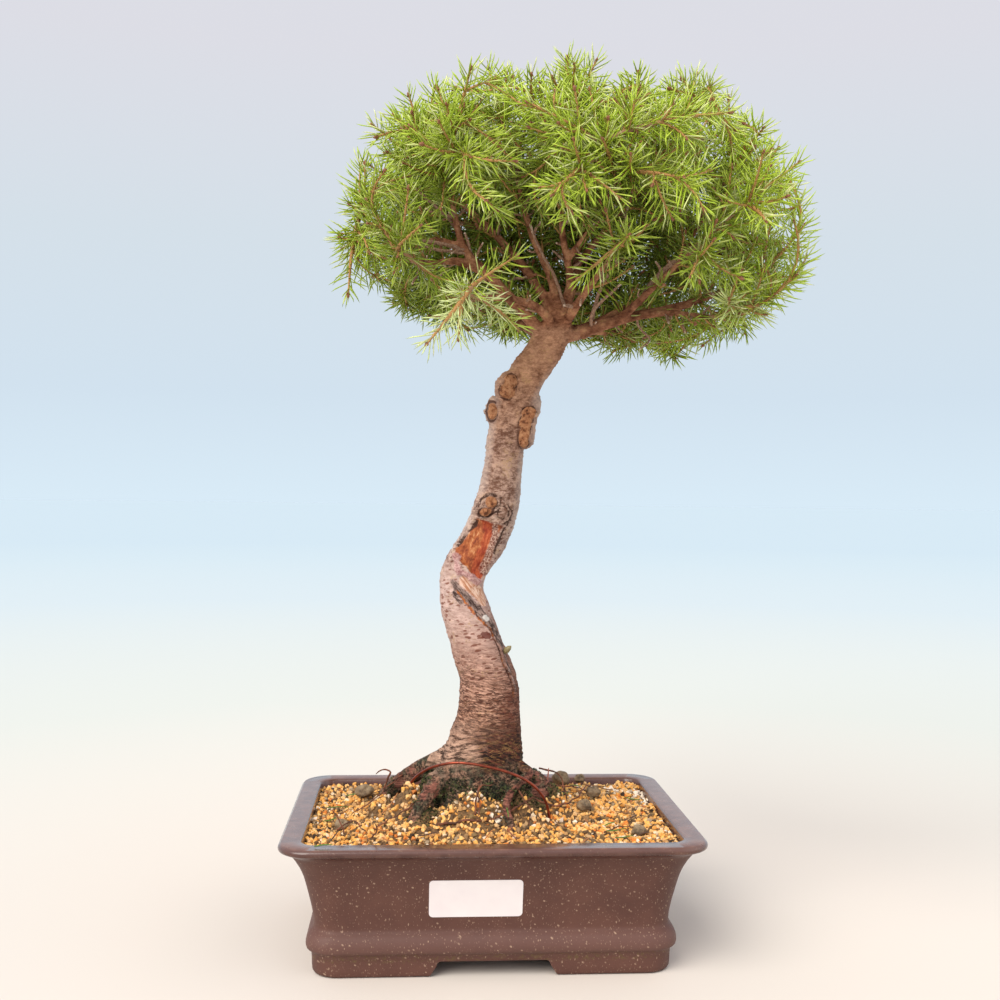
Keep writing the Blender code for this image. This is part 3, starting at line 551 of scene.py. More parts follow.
def add_rod(bm, points, radii, sides):
    """A closed round rod through points in millimetres, its last end drawn to a small dome."""
    points = [*points, points[-1] + (points[-1] - points[-2]).normalized() * radii[-1] * TIP_REACH]
    radii = [*radii, radii[-1] * TIP_RADIUS]
    turns = [step / sides * 2 * math.pi for step in range(sides)]
    side = (points[1] - points[0]).orthogonal().normalized()
    rings = []
    for index, (point, radius) in enumerate(zip(points, radii)):
        forward = (points[min(index + 1, len(points) - 1)] - points[max(index - 1, 0)]).normalized()
        side = (side - forward * side.dot(forward)).normalized()
        across = forward.cross(side)
        places = [point + (side * math.cos(turn) + across * math.sin(turn)) * radius for turn in turns]
        rings.append([bm.verts.new(place * MM) for place in places])
    join_rings(bm, rings)


bm = bmesh.new()
add_rod(bm, smooth_route(WIRE_ROUTE, WIRE_STEPS), [WIRE_RADIUS] * WIRE_STEPS, WIRE_SIDES)
wire = piece(bm, "tie_wire")
wire.data.shade_smooth()
wire.data.materials.append(two_tone(
    "tarnished_copper", (0.34, 0.075, 0.04), (0.16, 0.045, 0.03), patch=(3, 3, 0.6), tooth=(0.5, 2),
    span=(0.4, 0.68), gloss=(0.24, 0.22), depth=0.03, roughness=0.3, metallic=0.85,
))
settle(wire, "copper_wire", "anchor_wire")

# Wood. Roots, trunk and limbs grew as one piece: pinkish-grey bark with short dark pores, wrinkled over the
# foot, healed scars of cut branches, and a wound on the front that shows orange wood between rolled edges.
TRUNK_STEPS = 110
TRUNK_SIDES = 40
ROOT_STEPS = 26
ROOT_SIDES = 14
LIMB_STEPS = 18
LIMB_SIDES = 12
COLLAR_SWELL = 0.3
COLLAR_LENGTH = 7
VOXEL = 1.02
TRUNK_AXIS = (
    (-5, -5, 56, 24), (-5, -5, 70, 29), (-5, -5, 86, 28.5), (-4, -5, 99, 25.5), (-2, -4, 114, 21.5),
    (0, -3, 128, 18.8), (0, -2, 149, 17.7), (-5, -2, 167, 16.8), (-11.4, -2, 184, 15.6),
    (-16.4, -2, 199, 13.4), (-16, -1, 211, 13.2), (-11, 0, 221, 13.0), (-4, 0, 232, 13.4),
    (1, 0, 244, 13.3), (5, 0, 258, 12.4), (7, 0, 276, 11.4), (9, 0, 294, 11.0), (13, 0, 312, 11.2),
    (20, 0, 328, 11.0), (29, 0, 342, 10.8), (36, 0, 354, 10.2), (40, 0, 364, 7.4), (42, 0, 372, 4.0),
)
ROOTS = (
    (6.5, 4.0, ((-18, 2, 106), (-36, 7, 96), (-49, 10, 88), (-60, 11, 77.5), (-69, 12, 62))),
    (5.2, 3.6, ((-16, -14, 106), (-26, -20, 97), (-34, -27, 90), (-41, -34, 80), (-46, -40, 62))),
    (3.0, 2.2, ((14, -14, 104), (22, -22, 98), (13, -31, 93), (8, -38, 86), (9, -43, 78), (15, -50, 60))),
    (7.0, 4.6, ((8, 2, 101), (22, 0, 92), (32, 3, 84), (40, 6, 76), (46, 9, 62))),
    (6.0, 3.8, ((-12, 8, 106), (-24, 24, 93), (-34, 35, 80), (-42, 43, 62))),
    (5.5, 3.6, ((6, 8, 105), (17, 25, 92), (26, 37, 80), (33, 46, 62))),
)
LIMB_POINTS = 5
LIMBS = {
    "right_low": (4.6, 1.9, ((34, 0, 350), (49, -2, 354), (77, -8, 363), (105, -12, 369), (133, -18, 378))),
    "right_low_front": (2.3, 1.5, ((86, -9, 365), (103, -19, 365), (122, -33, 361))),
    "right_mid": (3.8, 1.7, ((52, -3, 355), (75, 0, 367), (91, 8, 377), (114, 22, 398), (144, 30, 411))),
    "right_high": (2.3, 1.5, ((97, 12, 382), (114, 8, 404), (126, 0, 428))),
    "right_back": (3.8, 1.7, ((40, 1, 356), (64, 22, 360), (86, 48, 362), (100, 70, 362))),
    "leader": (3.6, 1.5, ((40, 0, 360), (46, 0, 379), (51, 6, 402), (60, 12, 440))),
    "leader_right": (2.2, 1.5, ((49, 4, 395), (68, -10, 418), (88, -26, 440))),
    "front_high": (3.2, 1.5, ((41, -1, 365), (45, -6, 384), (38, -22, 410), (36, -36, 436))),
    "front_mid": (2.1, 1.5, ((42, -14, 396), (54, -40, 410), (62, -64, 422))),
    "back_high": (3.2, 1.5, ((41, 1, 364), (50, 22, 396), (57, 42, 424))),
    "left_high_front": (
        4.4, 1.6, ((34, -1, 348), (20, -5, 363), (-2, -14, 384), (-19, -23, 400), (-27, -27, 430)),
    ),
    "left_high_back": (3.6, 1.5, ((39, 0, 362), (20, 1, 391), (-3, 5, 417), (-28, 12, 440))),
    "left_high_middle": (3.0, 1.5, ((40, -1, 364), (33, -4, 388), (21, -10, 412), (12, -14, 442))),
    "left_low": (2.6, 1.6, ((-6, -16, 387), (-22, -24, 391), (-35, -33, 388), (-47, -41, 387))),
    "left_tip": (2.4, 1.5, ((-17, -22, 398), (-34, -22, 403), (-48, -18, 401), (-62, -14, 406))),
    "left_back_low": (3.8, 1.7, ((34, 1, 350), (14, 19, 365), (-8, 39, 376), (-30, 57, 384))),
    "left_back_mid": (2.2, 1.5, ((-2, 5, 416), (-17, 25, 424), (-34, 43, 432))),
    "front_left": (3.0, 1.6, ((38, -1, 356), (24, -22, 366), (4, -40, 368), (-16, -56, 364))),
    "front_low": (3.2, 1.6, ((41, -1, 358), (50, -30, 373), (58, -60, 385))),
    "front_right": (2.6, 1.5, ((74, -7, 362), (89, -32, 377), (104, -58, 392))),
    "back_low": (3.4, 1.6, ((40, 1, 360), (46, 34, 374), (50, 66, 384))),
    "back_left": (2.3, 1.5, ((43, 24, 370), (20, 52, 396), (8, 74, 406))),
    "back_right": (2.2, 1.5, ((48, 18, 390), (76, 44, 410), (96, 62, 422))),
}
# Cut faces of old branches: middle, half sizes and lean
SCARS = (
    ((8.2, -8.6, 318.6), (5.2, 4.2, 5.0), 10), ((10.0, -8.8, 324.2), (4.4, 3.4, 4.6), 20),
    ((-0.6, -5.0, 307), (3.4, 4.6, 5.8), 0), ((21.0, -8.2, 305.8), (4.8, 3.8, 4.6), 10),
    ((19.4, -9.0, 300.2), (4.6, 3.4, 5.2), 10), ((18.8, -8.8, 292.4), (4.3, 3.2, 7.6), 5),
    ((-0.8, -11.0, 253.8), (3.9, 3.0, 3.9), 0), ((-3.9, -10.8, 247.9), (4.3, 3.2, 3.0), -10),
)
# Rolled bark that has grown over older ones: middle and half sizes
SWELLINGS = (
    ((6.4, -9.0, 247.6), (6.4, 5.2, 6.4)), ((-2.0, -7.5, 251), (9.0, 6.6, 9.4)),
    ((20.0, 0.5, 312), (9.3, 8.5, 12)), ((9.0, -6.0, 321), (8.2, 6.4, 8.8)),
    ((19.0, -5.0, 299), (6.8, 6.6, 13)), ((1.5, -3.5, 307), (5.8, 6.2, 8.5)),
    ((-19, 0, 100.5), (13, 11, 12)), ((-7, -20, 84), (15, 13, 15)), ((24, -14, 86), (13, 10, 12)),
    ((-24, -10, 86), (15, 13, 13)),
)
# Lines over the front, across and up: the wound's outline, its cracks and its parts
WOUND_EDGE = (
    (-8.1, 243.6), (-3.7, 242.8), (0.7, 241.4), (6.6, 240.1), (4.4, 237.4), (2.7, 231.1), (1.0, 225.7),
    (-1.3, 216.6), (-4.0, 212.1), (-5.8, 209.0), (-8.6, 209.6), (-12.3, 212.4), (-15.0, 216.8),
    (-19.0, 219.4), (-21.2, 222.8), (-19.8, 227.6), (-15.9, 232.6), (-12.4, 238.0), (-9.8, 241.6),
)
BLACK_EDGE = ((-8.5, 243.3), (-11.1, 239.8), (-14.1, 235.3), (-17.2, 231.7), (-19.8, 227.9))
RIGHT_CRACK = ((11.7, 245.9), (9.5, 240.9), (6.3, 237.4), (4.1, 232.0), (1.9, 226.6), (1.3, 224.1))
COLLAR_CRACK = (
    (-9.7, 249.6), (-7.5, 255.1), (-1.5, 258.3), (5.1, 256.5), (9.2, 252.6), (12.5, 247.7), (10.8, 243.2),
    (6.6, 241.4),
)
SWIRL_CRACK = (
    (1.2, 250.2), (4.0, 252.2), (7.8, 251.2), (10.2, 248.0), (9.0, 244.8), (5.6, 243.6), (2.6, 245.6),
    (3.4, 248.4), (6.4, 248.2),
)
KNOT_RING = (
    (-7.8, 251.0), (-6.6, 255.0), (-3.4, 258.2), (0.6, 258.8), (3.6, 256.8), (4.8, 253.4), (4.0, 250.0),
    (1.6, 247.8), (-1.2, 246.2), (-4.4, 244.6), (-7.6, 245.6), (-8.6, 248.4),
)
GREY_WOOD = ((1.6, 240.0), (2.2, 234.7), (0.1, 227.5), (-2.4, 220.3), (-3.6, 213.0))
CALLUS = ((-20.7, 221.9), (-19.9, 216.7), (-18.5, 213.2), (-14.1, 211.5), (-10.5, 209.7), (-8.2, 207.4))
PALE_WOOD = ((-15.2, 208.2), (-11.2, 204.8), (-7.2, 200.8), (-4.0, 195.8))
DEAD_STRIP = (
    (-22.5, 207.4), (-18.9, 202.7), (-14.9, 198.4), (-10.9, 194.0), (-6.4, 189.1), (-1.4, 184.2),
    (3.2, 178.7), (6.0, 174.2), (7.8, 169.7), (9.2, 166.2), (10.5, 160.1), (12.8, 152.1), (15.3, 143.8),
)
DEAD_PATCH = ((-21.5, 200.9), (-19.8, 197.4), (-17.7, 195.7))
LONG_CRACK = (
    (-20.7, 203.1), (-17.6, 199.2), (-13.6, 193.6), (-9.6, 188.8), (-5.1, 184.3), (-0.5, 180.3),
    (3.1, 172.7), (5.9, 167.4), (7.2, 161.3), (10.5, 155.0), (12.8, 147.8), (14.6, 140.0),
)
WHITE_SPOT = ((-3.8, 186.8), (-2.6, 186.0))
RED_WOOD = ((-3.0, 241.0), (-1.8, 235.0), (-4.6, 227.0), (-7.4, 219.0), (-8.0, 211.0))
RED_SPOT = ((-4.3, 177.2), (-2.2, 176.6))
BUD_AT_CRACK = ((7.8, -11.4, 166.2), (11.6, -13.8, 170.2))
WOUND_DEPTH = 2.2
BASE_TOP = 104
UNROLLED_RADIUS = 15
BATCH = 4000
# Layers of short dashes in the bark: size of the cells, their stretch, and how strongly they show
DASHES = ((5.0, 2.8, 0.95), (3.8, 2.3, 0.85), (2.0, 1.8, 0.4))


def tapered(start, end, count):
    return [start + (end - start) * index / (count - 1) for index in range(count)]


def lumps(places, size, shift=0.0):
    """Soft noise from -1 to 1 at each place, its lumps of a size in millimetres."""
    return numpy.array([noise.noise(place) for place in places / size + shift])


def edge_distance(flat, line):
    """Distance in the plane from each point to a broken line."""
    nearest = numpy.full(len(flat), numpy.inf)
    for start, end in zip(line, line[1:]):
        start, way = numpy.array(start), numpy.subtract(end, start)
        share = numpy.clip((flat - start) @ way / (way @ way), 0, 1)
        nearest = numpy.minimum(nearest, numpy.linalg.norm(flat - start - share[:, None] * way, axis=1))
    return nearest


def inside(flat, outline):
    """Whether each point in the plane lies in the outline."""
    within = numpy.zeros(len(flat), bool)
    for (x_a, z_a), (x_b, z_b) in zip(outline, outline[1:] + outline[:1]):
        crossed = (z_a > flat[:, 1]) != (z_b > flat[:, 1])
        along = (flat[:, 1] - z_a) / (z_b - z_a if z_b != z_a else 1)
        within ^= crossed & (flat[:, 0] < x_a + along * (x_b - x_a))
    return within


def eased(values, low, high):
    """0 at low, 1 at high, and smooth between."""
    share = numpy.clip((values - low) / (high - low), 0, 1)
    return share * share * (3 - 2 * share)


def read(mesh, field):
    """Three numbers of each vertex: its place or its normal."""
    values = numpy.empty(len(mesh.vertices) * 3)
    mesh.vertices.foreach_get(field, values)
    return values.reshape(-1, 3)


def keep(mesh, name, values):
    """Stores a number for each vertex."""
    mesh.attributes.new(name, "FLOAT", "POINT").data.foreach_set("value", values.astype(numpy.float32))


def add_egg(bm, middle, size, lean=0):
    turned = Matrix.Rotation(math.radians(lean), 4, "Y") @ Matrix.Diagonal((*(Vector(size) * MM), 1))
    bmesh.ops.create_uvsphere(
        bm, u_segments=24, v_segments=14, radius=1, matrix=Matrix.Translation(Vector(middle) * MM) @ turned,
    )


bm = bmesh.new()
axis = smooth_route(TRUNK_AXIS, TRUNK_STEPS)
add_rod(bm, [point.xyz for point in axis], [point.w for point in axis], TRUNK_SIDES)
for thick, thin, route in ROOTS:
    add_rod(bm, smooth_route(route, ROOT_STEPS), tapered(thick, thin, ROOT_STEPS), ROOT_SIDES)
for thick, thin, route in LIMBS.values():
    points = smooth_route(route, LIMB_STEPS)
    collars = [1 + COLLAR_SWELL * math.exp(-(point - points[0]).length / COLLAR_LENGTH) for point in points]
    add_rod(bm, points, [r * c for r, c in zip(tapered(thick, thin, LIMB_STEPS), collars)], LIMB_SIDES)
for egg in SCARS + SWELLINGS:
    add_egg(bm, *egg)
wood = piece(bm, "bark_and_limbs")
grown = wood.modifiers.new("Grown", "REMESH")
grown.mode = "VOXEL"
grown.voxel_size = VOXEL * MM
soft = wood.modifiers.new("Soft", "SMOOTH")
soft.factor = 0.5
soft.iterations = 4
plain(wood)
mesh = wood.data
places = read(mesh, "co") / MM
outward = read(mesh, "normal")
stations = numpy.array([tuple(point) for point in axis])
nearest = numpy.empty(len(places), int)
for low in range(0, len(places), BATCH):
    gaps = numpy.linalg.norm(places[low:low + BATCH, None, :] - stations[None, :, :3], axis=2)
    nearest[low:low + BATCH] = (gaps - stations[None, :, 3]).argmin(1)
off_axis = places - stations[nearest, :3]
bole = 1 - eased(numpy.linalg.norm(off_axis, axis=1) - stations[nearest, 3], 5.0, 7.0)
bole *= 1 - eased(places[:, 2], 352, 362)
turn = numpy.arctan2(off_axis[:, 0], -off_axis[:, 1])
height = places[:, 2]
unrolled = numpy.stack(
    (numpy.sin(turn) * UNROLLED_RADIUS, -numpy.cos(turn) * UNROLLED_RADIUS, height), axis=1,
)
flat = places[:, [0, 2]]
front = eased(-outward[:, 1], -0.15, 0.2) * bole
hidden = (1 - front) * 20

# Each mask is a distance in millimetres, below nothing on the part that it stands for and large at the back
wobble = lumps(places, 4.0, 7.0)


def band(line, half_width, ragged=0.0):
    """Distance outside a band along a line on the front, its edge more or less ragged."""
    return edge_distance(flat, line) - half_width + wobble * ragged


wound = edge_distance(flat, WOUND_EDGE + WOUND_EDGE[:1]) * numpy.where(inside(flat, WOUND_EDGE), -1, 1)
wound += wobble * 0.9 + hidden
widening = 1.9 * eased(height, 158, 178) * (1 - 0.6 * eased(height, 196, 207))
dead = numpy.minimum(band(DEAD_STRIP, 0.7 + widening, 0.8), band(DEAD_PATCH, 1.1, 1.0)) + hidden
grey = band(GREY_WOOD, 1.7, 0.8) + hidden
callus = band(CALLUS, 1.9, 1.1) + hidden
pale = band(PALE_WOOD, 3.7 - 1.6 * (1 - eased(height, 192, 202)), 0.8) + hidden
white_spot = band(WHITE_SPOT, 1.6, 0.8) + hidden
open_crack = eased(height, 181, 194) * (1 - eased(height, 200, 204))
long_crack = band(LONG_CRACK, 0.4 + open_crack * 0.25) + lumps(places, 1.8) * 0.5 + hidden
red_wood = band(RED_WOOD, 3.1, 1.4) + lumps(places, 2.2, 4.0) * 1.2 + hidden
red = band(RED_SPOT, 1.9, 1.7) + lumps(places, 1.7, 2.0) * 0.9 + hidden
folds = numpy.minimum.reduce([band(COLLAR_CRACK, 0.35), band(SWIRL_CRACK, 0.3), band(KNOT_RING, 0.35)])
dark = numpy.minimum.reduce([
    band(BLACK_EDGE, 0.35, 0.5) + lumps(places, 3.0, 3.0) * 0.4, band(RIGHT_CRACK, 0.55, 0.4),
    folds + lumps(places, 2.5) * 0.4,
]) + hidden
scar = numpy.full(len(places), 9.0)
for middle, size, lean in SCARS:
    away = places - middle
    tilt = math.radians(lean)
    across = away[:, 0] * math.cos(tilt) - away[:, 2] * math.sin(tilt)
    up = away[:, 0] * math.sin(tilt) + away[:, 2] * math.cos(tilt)
    reach = numpy.hypot(across / size[0], up / size[2])
    scar = numpy.minimum(scar, (reach - 0.86) * min(size[0], size[2]) + (away[:, 1] > 4) * 9 + hidden * 0.3)
scar += lumps(places, 2.6, 5.0) * 0.5
rim = numpy.abs(scar - 0.5) - 0.28 + lumps(places, 5.0, 11.0) * 0.45
base = 1 - eased(height, 88, BASE_TOP)

# The relief's height in millimetres: the whole bark's swells and pores, the foot's wrinkles and the base's
# furrows, then the hollow of the right flank, the wound, the strips and cracks, and the cut faces
sound = 1 - numpy.clip(eased(-wound, -1, 1) + eased(-dead, -1, 0.5) + eased(-scar, -1, 0.3), 0, 1)
rise = lumps(places, 13) * 0.7 + lumps(unrolled * (1, 1, 1.6), 6, 2.0) * 0.4
pores = eased(lumps(unrolled * (1, 1, 3.2), 3.3, 5.0), 0.22, 0.5)
rise += pores * (0.3 + 0.2 * eased(height, 215, 235)) * (height < 345) * sound
wrinkle = eased(height, 92, 108) * (1 - eased(height, 130, 165)) * bole
uneven = 0.55 + lumps(unrolled * (1, 1, 2.0), 9, 6.0)
folded = (height + lumps(unrolled * (1, 1, 0.4), 8) * 6.0 + unrolled[:, 0] * 0.2) * 2.3
rise += wrinkle * 0.26 * uneven * numpy.sin(folded)
rise += (lumps(places, 3.8, 9.0) * 1.9 + lumps(unrolled * (1, 1, 0.35), 2.6, 4.0) * 1.3) * base
rise -= numpy.abs(lumps(places, 6.5, 12.0)) ** 0.5 * 1.8 * base * (1 - 0.6 * bole) - 0.9 * base
rise += lumps(places, 1.7, 1.0) * (0.14 + 0.3 * base + 0.5 * eased(-dead, 0, 1))
rise *= 0.4 + 0.6 * bole
right_flank = eased(turn, 0.45, 1.2) * (1 - eased(turn, 2.0, 2.8)) * bole
rise -= right_flank * numpy.exp(-((height - 172) / 24) ** 2) * 3.3
rise -= WOUND_DEPTH * eased(-wound, 0, 3.2) + eased(-wound, -0.3, 0.4) * 0.5
rise += eased(-wound, -2.4, -0.9) * (1 - eased(-wound, -0.9, 0.0)) * 0.9
rise += eased(-wound, 0, 1) * lumps(unrolled * (1, 1, 0.2), 1.8) * 0.3
rise += eased(-callus, -0.8, 1.6) * 1.7 + eased(-grey, -0.4, 0.6) * 0.7
rise += eased(-dead, -0.5, 0.6) * 0.8 - eased(-long_crack, -0.7, 0.3) * 0.9
rise -= eased(-dark, -0.6, 0.5) * 0.8 + eased(-pale, -0.6, 0.8) * 0.4
rise += numpy.exp(-(scar - 1.9) ** 2) + eased(-scar, 0, 0.8) * (0.8 + lumps(places, 2.9, 8.0) * 2.0)
rise -= eased(-rim, -0.4, 0.3) * 0.4
places += outward * rise[:, None]
mesh.vertices.foreach_set("co", (places * MM).ravel())
mossy = lumps(places, 6, 3.0) * 1.3 + 0.53 * bole - 0.1 - numpy.abs(height - 89) / 20
masks = {
    "bole": bole, "wound": wound, "dead_bark": dead, "grey_wood": grey, "callus": callus, "pale_wood": pale,
    "long_crack": long_crack, "red_spot": red, "dark_crack": dark, "scar": scar, "rim": rim,
    "white_spot": white_spot, "red_wood": red_wood, "moss": eased(mossy, -0.15, 0.25) * base,
}
for name, values in masks.items():
    keep(mesh, name, values)
stored = mesh.attributes.new("unrolled", "FLOAT_VECTOR", "POINT")
stored.data.foreach_set("vector", unrolled.astype(numpy.float32).ravel())
mesh.shade_smooth()

bark = Finish("spruce_bark", roughness=0.8, specular_ior_level=0.25)
spot = bark.place()
x, _, z = bark.parts(spot)
rolled_out = bark.attribute("unrolled", "Vector")
round_x, round_y, _ = bark.parts(rolled_out)
mottle = bark.noise(spot, 8, 4, 0.6)
grit = bark.noise(spot, 1.4, 4, 0.7)
streak = bark.noise(bark.stretched(rolled_out, 1, 1, 2.6), 4.0, 5, 0.72)
blotch = bark.noise(bark.stretched(spot, 0.75, 0.75, 1.5), 2.8, 6, 0.8)
swept_up = z + round_x.math("ABSOLUTE") * z.between(126, 100) * 0.7 + round_x * 0.14
swept = bark.whole(round_x * 0.2, round_y * 0.2, swept_up)
furrow = bark.noise(swept, 1.25, 5, 0.7)
streak = streak + (furrow * 1.25 - 0.125 - streak) * z.between(165, 142)
streak = streak + (blotch * 1.6 - 0.3 + (mottle - 0.5) * 0.8 - streak) * z.between(205, 228)
streak = streak + (0.52 - streak) * z.between(295, 325) * 0.45
smoothness = z.between(150, 172) * z.between(222, 206)
streak = streak + (0.56 - streak) * smoothness * 0.4
ragged = (grit - 0.5) * 1.6


def within(name, blur=0.2):
    """1 where the distance kept under this name is below nothing, with a ragged edge."""
    return (ragged - bark.attribute(name)).between(-blur, blur)


def uneven_height(amount):
    """The height in millimetres, with patches that shift it."""
    return z + (mottle - 0.5) * amount


# The bark's colour up the trunk; the stops above about 320 mm are partly painted light, lighter where the
# crown shades the trunk's top
skin_colour = bark.ramp(
    uneven_height(30) * 0.0025, (0.23, (0.06, 0.028, 0.018)), (0.27, (0.15, 0.07, 0.044)),
    (0.32, (0.41, 0.216, 0.141)), (0.38, (0.47, 0.262, 0.19)), (0.44, (0.50, 0.325, 0.268)),
    (0.50, (0.56, 0.395, 0.345)), (0.60, (0.42, 0.275, 0.21)), (0.72, (0.365, 0.214, 0.152)),
    (0.82, (0.46, 0.233, 0.132)), (0.92, (0.42, 0.205, 0.12)),
)
limb_colour = bark.mix(mottle.between(0.35, 0.65), (0.23, 0.086, 0.04), (0.44, 0.20, 0.107))
colour = bark.mix(bark.attribute("bole").between(0.2, 0.8), limb_colour, skin_colour)
shading = bark.mix(streak.between(0.34, 0.64), (0.39, 0.285, 0.24), (1.3, 1.34, 1.36))
colour = bark.mix(1.0, colour, shading, "MULTIPLY")
shaded_side = round_x.between(2, 14) * (0.25 + 0.4 * z.between(210, 170))
colour = bark.mix(shaded_side, colour, bark.mix(1.0, colour, (0.38, 0.28, 0.25), "MULTIPLY"))
golden = mottle.between(0.53, 0.66) * grit.between(0.48, 0.6) * z.between(118, 135)
colour = bark.mix(golden * 0.6, colour, (0.42, 0.26, 0.09))
tilted = bark.leaned(rolled_out, 0, 0.22, 0)
rim_light = round_x.math("ABSOLUTE").between(9, 15) * z.between(205, 240) * z.between(340, 315)
colour = bark.mix(rim_light * 0.5, colour, (0.66, 0.53, 0.47))
dash_colour = bark.mix(z.between(140, 180) * z.between(225, 205), (0.12, 0.042, 0.026), (0.21, 0.082, 0.055))
for size, stretch, share in DASHES:
    dash, luck = bark.cells(bark.stretched(tilted, 1, 1, stretch), size)
    dashes = (bark.parts(luck)[0].between(0.4, 0.85) * 0.4 - dash).between(0.0, 0.07)
    dashes *= (z.between(258, 222) * 0.7 + 0.3) * z.between(345, 325)
    colour = bark.mix(dashes * share, colour, dash_colour)
ripple = ((uneven_height(18) + round_x * 0.22) * 3.0).math("SINE").between(0.1, 0.85)
ripple *= streak.between(0.66, 0.48) * z.between(166, 132) * z.between(96, 108)
colour = bark.mix(ripple * 0.7, colour, (0.04, 0.017, 0.011))
# Dark crimson patches over the lower right flank: partly red bark, partly painted shade on the side away from
# the key lamp
crimson_and_shade = round_x.between(0, 9) * z.between(158, 140) * mottle.between(0.42, 0.6)
colour = bark.mix(crimson_and_shade * 0.7, colour, (0.15, 0.042, 0.025))
crease = (bark.noise(swept, 1.6, 3, 0.6) - 0.5).math("ABSOLUTE").between(0.05, 0.012)
colour = bark.mix(crease * z.between(176, 146) * 0.9, colour, (0.055, 0.021, 0.014))
crackle = bark.noise(swept, 1.3, 6, 0.8)
# The foot in two copies of one crackle: its right side, with gold lines, is much darker, partly dark bark and
# partly painted shade
foot_left = bark.mix(crackle.between(0.43, 0.56), (0.035, 0.016, 0.010), (0.60, 0.37, 0.26))
shaded_foot_right = bark.mix(crackle.between(0.46, 0.62), (0.008, 0.004, 0.003), (0.19, 0.06, 0.032))
gold_line = bark.noise(bark.stretched(tilted, 0.6, 1, 2.0), 4.4, 4)
gold_line = (gold_line - 0.5).math("ABSOLUTE").between(0.03, 0.006)
shaded_foot_right = bark.mix(gold_line * crackle.between(0.4, 0.55) * 0.7, shaded_foot_right, (0.36, 0.21, 0.07))
foot = bark.mix((round_x + (mottle - 0.5) * 18).between(-8, 0), foot_left, shaded_foot_right)
colour = bark.mix(uneven_height(12).between(130, 112) * 0.92, colour, foot)
slant = bark.leaned(spot, 0, 0.66, 0)
slanted = bark.noise(bark.stretched(slant, 1, 1, 0.12), 1.1, 4, 0.7)
colour = bark.mix(within("red_spot") * 0.85, colour, (0.11, 0.022, 0.015))
pale_grain = bark.mix(slanted.between(0.42, 0.58), (0.44, 0.19, 0.10), (0.74, 0.51, 0.39))
colour = bark.mix(within("pale_wood"), colour, pale_grain)
leaning = bark.leaned(spot, 0, -0.3, 0)
long_fibre = bark.noise(bark.stretched(leaning, 1, 1, 0.42), 2.3, 6, 0.75)
open_wood = bark.ramp(
    long_fibre, (0.38, (0.17, 0.033, 0.012)), (0.47, (0.33, 0.080, 0.025)), (0.56, (0.44, 0.135, 0.041)),
    (0.63, (0.60, 0.27, 0.115)), (0.70, (0.82, 0.55, 0.36)),
)
low_grain = bark.mix(long_fibre.between(0.42, 0.6), (0.10, 0.022, 0.012), (0.36, 0.10, 0.04))
open_wood = bark.mix((uneven_height(24) + x * 1.4).between(176, 190) * 0.7, open_wood, low_grain)
red_grain = bark.mix(long_fibre.between(0.4, 0.62), (0.27, 0.030, 0.012), (0.53, 0.105, 0.037))
open_wood = bark.mix(within("red_wood", 0.8) * 0.85, open_wood, red_grain)
colour = bark.mix(within("wound", 0.3), colour, open_wood)
weathered = bark.noise(leaning, 1.1, 4, 0.75)
weathered = bark.mix(weathered.between(0.44, 0.6), (0.12, 0.038, 0.025), (0.60, 0.42, 0.33))
colour = bark.mix(within("grey_wood", 0.4) * 0.85, colour, weathered)
rolled_edge = bark.mix(grit.between(0.35, 0.65), (0.24, 0.085, 0.085), (0.70, 0.44, 0.40))
colour = bark.mix(within("callus", 0.3) * 0.9, colour, rolled_edge)
plait = bark.noise(bark.stretched(slant, 1, 1, 0.3), 1.3, 4, 0.7)
plait = bark.mix(plait.between(0.42, 0.6), (0.045, 0.023, 0.019), (0.33, 0.225, 0.19))
colour = bark.mix(within("dead_bark"), colour, plait)
colour = bark.mix(within("white_spot") * 0.9, colour, (0.66, 0.60, 0.55))
orange = (uneven_height(60).between(172, 186) + z.between(166, 158) * mottle.between(0.45, 0.6)).clamped()
fresh = bark.mix(grit.between(0.4, 0.6), (0.22, 0.05, 0.02), (0.56, 0.18, 0.05))
colour = bark.mix(within("long_crack"), colour, bark.mix(orange, (0.055, 0.018, 0.011), fresh))
chips = bark.noise(spot, 2.6, 5, 0.68)
cut_face = bark.ramp(
    chips, (0.37, (0.10, 0.034, 0.016)), (0.45, (0.31, 0.118, 0.05)), (0.60, (0.47, 0.225, 0.11)),
)
cut_place, cut_rim = [(bark.attribute(name) - ragged * 0.25).between(0.15, -0.1) for name in ("scar", "rim")]
colour = bark.mix(cut_place, colour, cut_face)
colour = bark.mix(cut_rim * 0.9, colour, (0.065, 0.022, 0.013))
colour = bark.mix(within("dark_crack") * 0.92, colour, (0.04, 0.016, 0.010))
root_skin = bark.noise(tilted, 2.0, 5, 0.75)
root_skin = bark.mix(root_skin.between(0.42, 0.6), (0.05, 0.018, 0.013), (0.36, 0.14, 0.095))
colour = bark.mix(bark.attribute("bole").between(0.6, 0.3) * z.between(112, 104), colour, root_skin)
caked = bark.attribute("bole").between(0.35, 0.65)
patches = (mottle + x.between(-38, -50) * 0.12 + z.between(88, 76) * 0.12).between(0.55, 0.65)
soiled = patches + (uneven_height(34).between(106, 97) - patches) * caked
crumbs = bark.mix(bark.noise(spot, 4.5, 3).between(0.42, 0.58), (0.085, 0.095, 0.055), (0.40, 0.22, 0.14))
soil_crust = bark.mix(grit.between(0.42, 0.62), (0.008, 0.008, 0.006), crumbs)
colour = bark.mix(soiled * z.between(112, 106) * 0.9, colour, soil_crust)
wood.data.materials.clear()
relief = (grit + streak * 0.8) * (z.between(122, 104) + 1)
wood.data.materials.append(bark.wear(colour, 0.86 - within("wound", 0.3) * 0.3, relief, 0.5))
settle(wood, "spruce_bark", "trunk")

